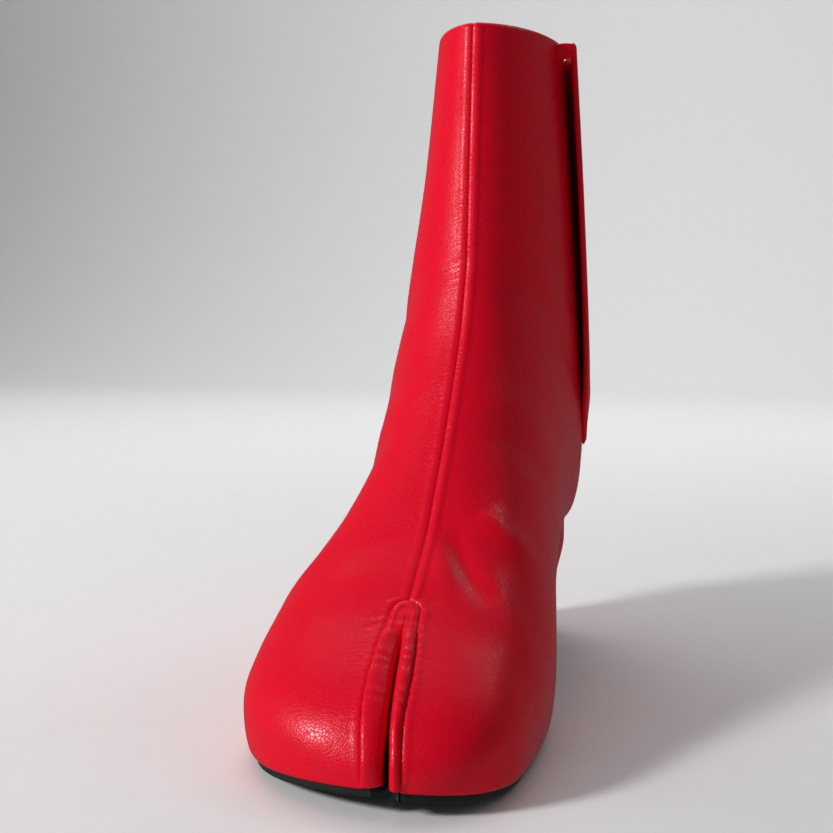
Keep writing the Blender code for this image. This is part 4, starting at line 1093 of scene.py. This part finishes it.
Size = namedtuple("Size", "key label note value")
LENGTHS = (
    Size("boot_length", "Boot length", "Toe tip to heel", 0.238),
    Size("ball_lateral", "Ball, lateral", "Half width at the ball", 0.055),
    Size("ball_medial", "Ball, medial", "Half width at the ball", 0.042),
    Size("toe_depth", "Toe depth", "Toe tip to ball", 0.069),
    Size("toe_height", "Toe height", "Height at the toe tip", 0.023),
    Size("toe_spring", "Toe spring", "Lift of the toe", 0.0055),
    Size("cleft_depth", "Cleft depth", "Toe tip to the cleft's root", 0.045),
    Size("cleft_height", "Cleft height", "Height at the cleft's root", 0.0485),
    Size("cleft_lean", "Cleft lean", "Lean to the medial side", 0.0058),
    Size("cleft_gap", "Cleft gap", "Width of the slot", 0.0016),
    Size("cleft_mouth", "Cleft mouth", "Flare at the mouth", 0.0035),
    Size("vamp_height", "Vamp height", "Height over the ball", 0.0675),
    Size("seat_height", "Seat height", "Height of the heel seat", 0.055),
    Size("throat_height", "Throat height", "Height of the front bend", 0.153),
    Size("throat_back", "Throat back", "Toe tip to the front bend", 0.129),
    Size("collar_height", "Collar height", "Height of the collar", 0.251),
    Size("collar_lean", "Collar lean", "Backward lean of the front", 0.010),
    Size("ankle_lateral", "Ankle, lateral", "Half width", 0.0395),
    Size("ankle_medial", "Ankle, medial", "Half width", 0.0355),
    Size("collar_lateral", "Collar, lateral", "Half width", 0.0215),
    Size("collar_medial", "Collar, medial", "Half width", 0.0255),
    Size("upper_wall", "Upper wall", "Leather and lining", 0.0018),
    Size("lasting_margin", "Lasting margin", "Turned-in margin", 0.010),
    Size("lip_raise", "Lip raise", "Height of the gusset's rolls", 0.0025),
    Size("seam_depth", "Seam depth", "Depth of the seam's groove", 0.0009),
    Size("seam_breadth", "Seam breadth", "Half breadth of the groove", 0.0005),
    Size("band_breadth", "Band breadth", "Seam to the middle of the band", 0.0022),
    Size("band_height", "Band height", "Height of the band", 0.00022),
    Size("rim_radius", "Rim radius", "Rolled edge of the collar", 0.0008),
    Size("sole_thickness", "Sole thickness", "Outsole", 0.0035),
    Size("sole_bevel", "Sole bevel", "Outsole's edge", 0.0009),
    Size("heel_radius", "Heel radius", "At the seat", 0.0265),
    Size("heel_taper", "Heel taper", "Less at the foot", 0.0030),
    Size("heel_back_inset", "Heel inset", "Heel inside the sole's back", 0.0035),
    Size("top_piece_thickness", "Top piece", "Rubber under the heel", 0.0055),
    Size("flap_thickness", "Flap thickness", "Closing flap", 0.0022),
    Size("flap_foot_rise", "Flap foot", "Flap's foot over the seat", 0.031),
    Size("slit_width", "Slit width", "Slit in the shaft under the flap", 0.0035),
    Size("slit_above_foot", "Slit above foot", "Slit's foot over the flap's foot", 0.012),
    Size("stand_off_top", "Stand-off at the top", "Flap's free edge off the shaft", 0.0060),
    Size("stand_off_foot", "Stand-off at the foot", "Flap's free edge off the shaft", 0.0024),
    Size("clearance", "Clearance", "Gap between pieces", 0.0003),
)
SHARES = (
    Size("flap_front", "Flap front", "Place of the free edge round the shaft", 0.46),
    Size("flap_back", "Flap back", "Place of the flap's back round the shaft", 0.93),
    Size("flap_corner", "Flap corner", "Rounded corner's share of the height", 0.16),
    Size("flap_corner_set_back", "Corner set back", "Rounded corner's breadth", 0.13),
)
DEFAULTS = {each.key: each.value for each in LENGTHS + SHARES}


class BootSizes(PropertyGroup):
    """Driving sizes of the boot: lengths in metres, then shares of the way round or up the shaft."""

    __annotations__ = {
        each.key: FloatProperty(name=each.label, description=each.note, default=each.value, **kind)
        for sizes, kind in ((LENGTHS, {"unit": "LENGTH"}), (SHARES, {"subtype": "FACTOR"}))
        for each in sizes
    }


class BootColours(PropertyGroup):
    """Colours and lights."""

    leather: FloatVectorProperty(name="Leather", description="Upper's colour", subtype="COLOR",
                                 default=(0.88, 0.0, 0.021), min=0.0, max=1.0)
    leather_shade: FloatVectorProperty(name="Leather shade", description="Upper's colour in its valleys",
                                       subtype="COLOR", default=(0.60, 0.0, 0.012), min=0.0, max=1.0)
    sole: FloatVectorProperty(name="Sole", description="Outsole's colour", subtype="COLOR",
                              default=(0.022, 0.020, 0.019), min=0.0, max=1.0)
    sole_shade: FloatVectorProperty(name="Sole shade", description="Outsole's darker colour",
                                    subtype="COLOR", default=(0.012, 0.011, 0.010), min=0.0, max=1.0)
    lining: FloatVectorProperty(name="Lining", description="Lining's colour", subtype="COLOR",
                                default=(0.50, 0.36, 0.25), min=0.0, max=1.0)
    lining_shade: FloatVectorProperty(name="Lining shade", description="Lining's darker colour",
                                      subtype="COLOR", default=(0.40, 0.27, 0.18), min=0.0, max=1.0)
    floor: FloatVectorProperty(name="Floor", description="Floor's colour", subtype="COLOR",
                               default=(0.93, 0.93, 0.93), min=0.0, max=1.0)
    key_power: FloatProperty(name="Key light", description="Power of the key light in watts", default=20.0)
    fill_strength: FloatProperty(name="Surroundings", description="Strength of the surroundings' light",
                                 default=0.12)


class BOOT_OT_materials(Operator):
    """Make the boot's materials"""

    bl_idname = "boot.materials"
    bl_label = "Make Materials"

    def execute(self, context):
        colours = context.scene.boot_colours
        grain_group()
        wrinkle_group()
        for name, seamed in (("red_grained_leather", False), ("red_seamed_leather", True)):
            leather_material(name, tuple(colours.leather), tuple(colours.leather_shade), roughness=0.25,
                             cell_scale=900.0, relief=0.30, sheen=(1.0, 0.60, 0.66), seamed=seamed)
        # Much darker copy of the red leather for the walls down the toes' slot: painted shade, not a
        # different leather
        leather_material("red_cleft_painted_shade_leather", tuple(0.3 * value for value in colours.leather_shade),
                         tuple(0.15 * value for value in colours.leather_shade), roughness=0.6,
                         cell_scale=900.0, relief=0.42, sheen=(1.0, 0.42, 0.50))
        leather_material("lining_leather", tuple(colours.lining), tuple(colours.lining_shade),
                         roughness=0.62, cell_scale=1400.0, relief=0.25, sheen=(1.0, 1.0, 1.0))
        plain_grained_material("waxed_sole_leather", tuple(colours.sole), tuple(colours.sole_shade),
                               roughness=0.48, scale=1500.0, relief=0.35)
        plain_grained_material("heel_rubber", (0.014, 0.014, 0.014), (0.022, 0.022, 0.021),
                               roughness=0.75, scale=2200.0, relief=0.5)
        return {"FINISHED"}


class BOOT_OT_upper(Operator):
    """Make the two panels, the toe gusset and the lining"""

    bl_idname = "boot.upper"
    bl_label = "Make Upper"

    def execute(self, context):
        last = Last(context.scene.boot_sizes)
        leather = bpy.data.materials["red_grained_leather"]
        seamed = bpy.data.materials["red_seamed_leather"]
        make_panel(last, "lateral_panel", -1, seamed)
        make_panel(last, "medial_panel", 1, seamed)
        # The third material paints shade on the slot's walls
        make_gusset(last, leather, bpy.data.materials["red_cleft_painted_shade_leather"])
        make_lining(last, bpy.data.materials["lining_leather"])
        return {"FINISHED"}


class BOOT_OT_flap(Operator):
    """Make the closing flap"""

    bl_idname = "boot.flap"
    bl_label = "Make Flap"

    def execute(self, context):
        last = Last(context.scene.boot_sizes)
        make_flap(last, bpy.data.materials["red_grained_leather"])
        make_flap_web(last, bpy.data.materials["red_grained_leather"])
        return {"FINISHED"}


class BOOT_OT_bottom(Operator):
    """Make the outsole and the heel, and finish the insole"""

    bl_idname = "boot.bottom"
    bl_label = "Make Bottom"

    def execute(self, context):
        last = Last(context.scene.boot_sizes)
        make_outsole(last, bpy.data.materials["waxed_sole_leather"])
        make_heel(last, bpy.data.materials["red_grained_leather"], bpy.data.materials["heel_rubber"])
        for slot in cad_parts["insole"].material_slots:
            slot.material = bpy.data.materials["lining_leather"]
        return {"FINISHED"}


class BOOT_OT_stage(Operator):
    """Make the floor, the lights, the surroundings and the camera"""

    bl_idname = "boot.stage"
    bl_label = "Make Stage"

    def execute(self, context):
        colours = context.scene.boot_colours
        make_floor(tuple(colours.floor))
        make_lights(colours.key_power)
        make_surroundings(colours.fill_strength)
        make_camera()
        return {"FINISHED"}


class BOOT_PT_panel(Panel):
    """Lists the boot's pieces in the sidebar"""

    bl_idname = "BOOT_PT_panel"
    bl_label = "Split-Toe Boot"
    bl_space_type = "VIEW_3D"
    bl_region_type = "UI"
    bl_category = "Boot"

    def draw(self, context):
        for operator in PIECE_OPERATORS:
            self.layout.operator(operator.bl_idname)
        for group in (context.scene.boot_sizes, context.scene.boot_colours):
            for label in group.bl_rna.properties.keys():
                if label not in ("rna_type", "name"):
                    self.layout.prop(group, label)


FLOOR_FRONT, FLOOR_BACK, FLOOR_CURVE, FLOOR_HALF = -3.0, 1.6, 1.2, 5.0
SURROUNDINGS_SEEN = 0.62

# Lights: place, target, size, share of the key's power, and whether the leather mirrors it
Lamp = namedtuple("Lamp", "name place target size share mirrored")
BOOT_MIDDLE = (0.0, 0.0, 0.10)
LAMPS = (
    Lamp("key", (-1.15, -0.94, 0.80), BOOT_MIDDLE, (0.27, 0.32), 1.0, True),
    Lamp("top", (-0.30, 0.30, 1.60), BOOT_MIDDLE, (0.9, 0.9), 0.16, False),
    Lamp("backdrop", (0.0, 0.9, 1.5), (0.0, 2.2, 0.0), (2.4, 0.8), 1.05, True),
)


def make_floor(colour):
    """Plain pale floor sheet that curves up behind the boot."""
    turn = np.linspace(0.0, math.pi / 2, 24)[1:]
    flat = np.linspace(FLOOR_FRONT, FLOOR_BACK, 12)
    depth = np.concatenate([flat, FLOOR_BACK + FLOOR_CURVE * np.sin(turn), [FLOOR_BACK + FLOOR_CURVE]])
    rise = np.concatenate([0.0 * flat, FLOOR_CURVE * (1.0 - np.cos(turn)), [FLOOR_HALF]])
    across = np.linspace(-FLOOR_HALF, FLOOR_HALF, 9)[None, :]
    grid = np.stack(np.broadcast_arrays(across, depth[:, None], rise[:, None]), axis=-1)
    material = plain_grained_material("pale_floor", colour, tuple(value * 0.97 for value in colour),
                                      roughness=0.8, scale=60.0, relief=0.02)
    floor = add_piece("floor", grid.reshape(-1, 3) + ORIGIN, grid_faces(len(depth), 9), material)
    floor.visible_glossy = False


def make_lights(power):
    """Key from the image's left and the front, a weak top light, and one turned to the backdrop: each a
    rectangular area light at its place, turned to its target."""
    for lamp in LAMPS:
        light = bpy.data.lights.new(lamp.name, "AREA")
        light.shape = "RECTANGLE"
        light.size, light.size_y = lamp.size
        light.energy = lamp.share * power
        fitting = bpy.data.objects.new(lamp.name, light)
        fitting.location = lamp.place
        fitting.visible_glossy = lamp.mirrored
        fitting.rotation_mode = "QUATERNION"
        fitting.rotation_quaternion = (Vector(lamp.target) - Vector(lamp.place)).to_track_quat("-Z", "Y")
        bpy.context.scene.collection.objects.link(fitting)


def make_surroundings(strength):
    """Even pale surroundings: seen as pale by the camera, and dimmer as a light."""
    world = bpy.data.worlds.new("studio")
    world.use_nodes = True
    background = world.node_tree.nodes["Background"]
    background.inputs["Color"].default_value = (0.95, 0.96, 1.0, 1.0)
    path = world.node_tree.nodes.new("ShaderNodeLightPath")
    seen = math_node(world.node_tree, "MULTIPLY", path.outputs["Is Camera Ray"], SURROUNDINGS_SEEN - strength)
    world.node_tree.links.new(math_node(world.node_tree, "ADD", seen, strength),
                              background.inputs["Strength"])
    bpy.context.scene.world = world


# Camera: the photograph's place in last coordinates, in metres, and its angles in degrees
CAMERA_PLACE = (0.1018, -0.3206, 0.1454)
CAMERA_HEADING = 15.12
CAMERA_DIP = 5.12
CAMERA_FOCAL_SHARE = 1212.34 / 833.0
SENSOR = 36.0


def make_camera():
    """Camera at the photograph's place, turned to the one boot. Heading is to the lateral side of +Y."""
    data = bpy.data.cameras.new("camera")
    data.sensor_width = SENSOR
    data.lens = CAMERA_FOCAL_SHARE * SENSOR
    data.clip_start = 0.01
    data.clip_end = 50.0
    camera = bpy.data.objects.new("camera", data)
    camera.location = Vector(np.array(CAMERA_PLACE) - ORIGIN)
    heading, dip = math.radians(CAMERA_HEADING), math.radians(CAMERA_DIP)
    forward = Vector((-math.sin(heading) * math.cos(dip), math.cos(heading) * math.cos(dip), -math.sin(dip)))
    camera.rotation_mode = "QUATERNION"
    camera.rotation_quaternion = forward.to_track_quat("-Z", "Y")
    bpy.context.scene.collection.objects.link(camera)
    bpy.context.scene.camera = camera
    bpy.context.scene.view_settings.view_transform = "Standard"


PIECE_OPERATORS = (BOOT_OT_materials, BOOT_OT_upper, BOOT_OT_flap, BOOT_OT_bottom, BOOT_OT_stage)
CLASSES = (BootSizes, BootColours, *PIECE_OPERATORS, BOOT_PT_panel)

# The heel's middle is known in both frames, so it gives the place of the last's own origin
HEEL_LOW, HEEL_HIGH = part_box("heel_top_piece")
HEEL_CENTRE_BACK = (DEFAULTS["boot_length"] * HEEL_TIP - DEFAULTS["heel_back_inset"]
                    - DEFAULTS["heel_radius"])
ORIGIN = np.array([-(HEEL_LOW[0] + HEEL_HIGH[0]) / 2.0, HEEL_CENTRE_BACK - (HEEL_LOW[1] + HEEL_HIGH[1]) / 2.0,
                   0.0])


def register():
    for each in CLASSES:
        bpy.utils.register_class(each)
    bpy.types.Scene.boot_sizes = PointerProperty(type=BootSizes)
    bpy.types.Scene.boot_colours = PointerProperty(type=BootColours)


def unregister():
    del bpy.types.Scene.boot_colours
    del bpy.types.Scene.boot_sizes
    for each in reversed(CLASSES):
        bpy.utils.unregister_class(each)


def main():
    """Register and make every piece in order."""
    register()
    bpy.ops.boot.materials()
    bpy.ops.boot.upper()
    bpy.ops.boot.flap()
    bpy.ops.boot.bottom()
    bpy.ops.boot.stage()


if __name__ == "__main__":
    main()
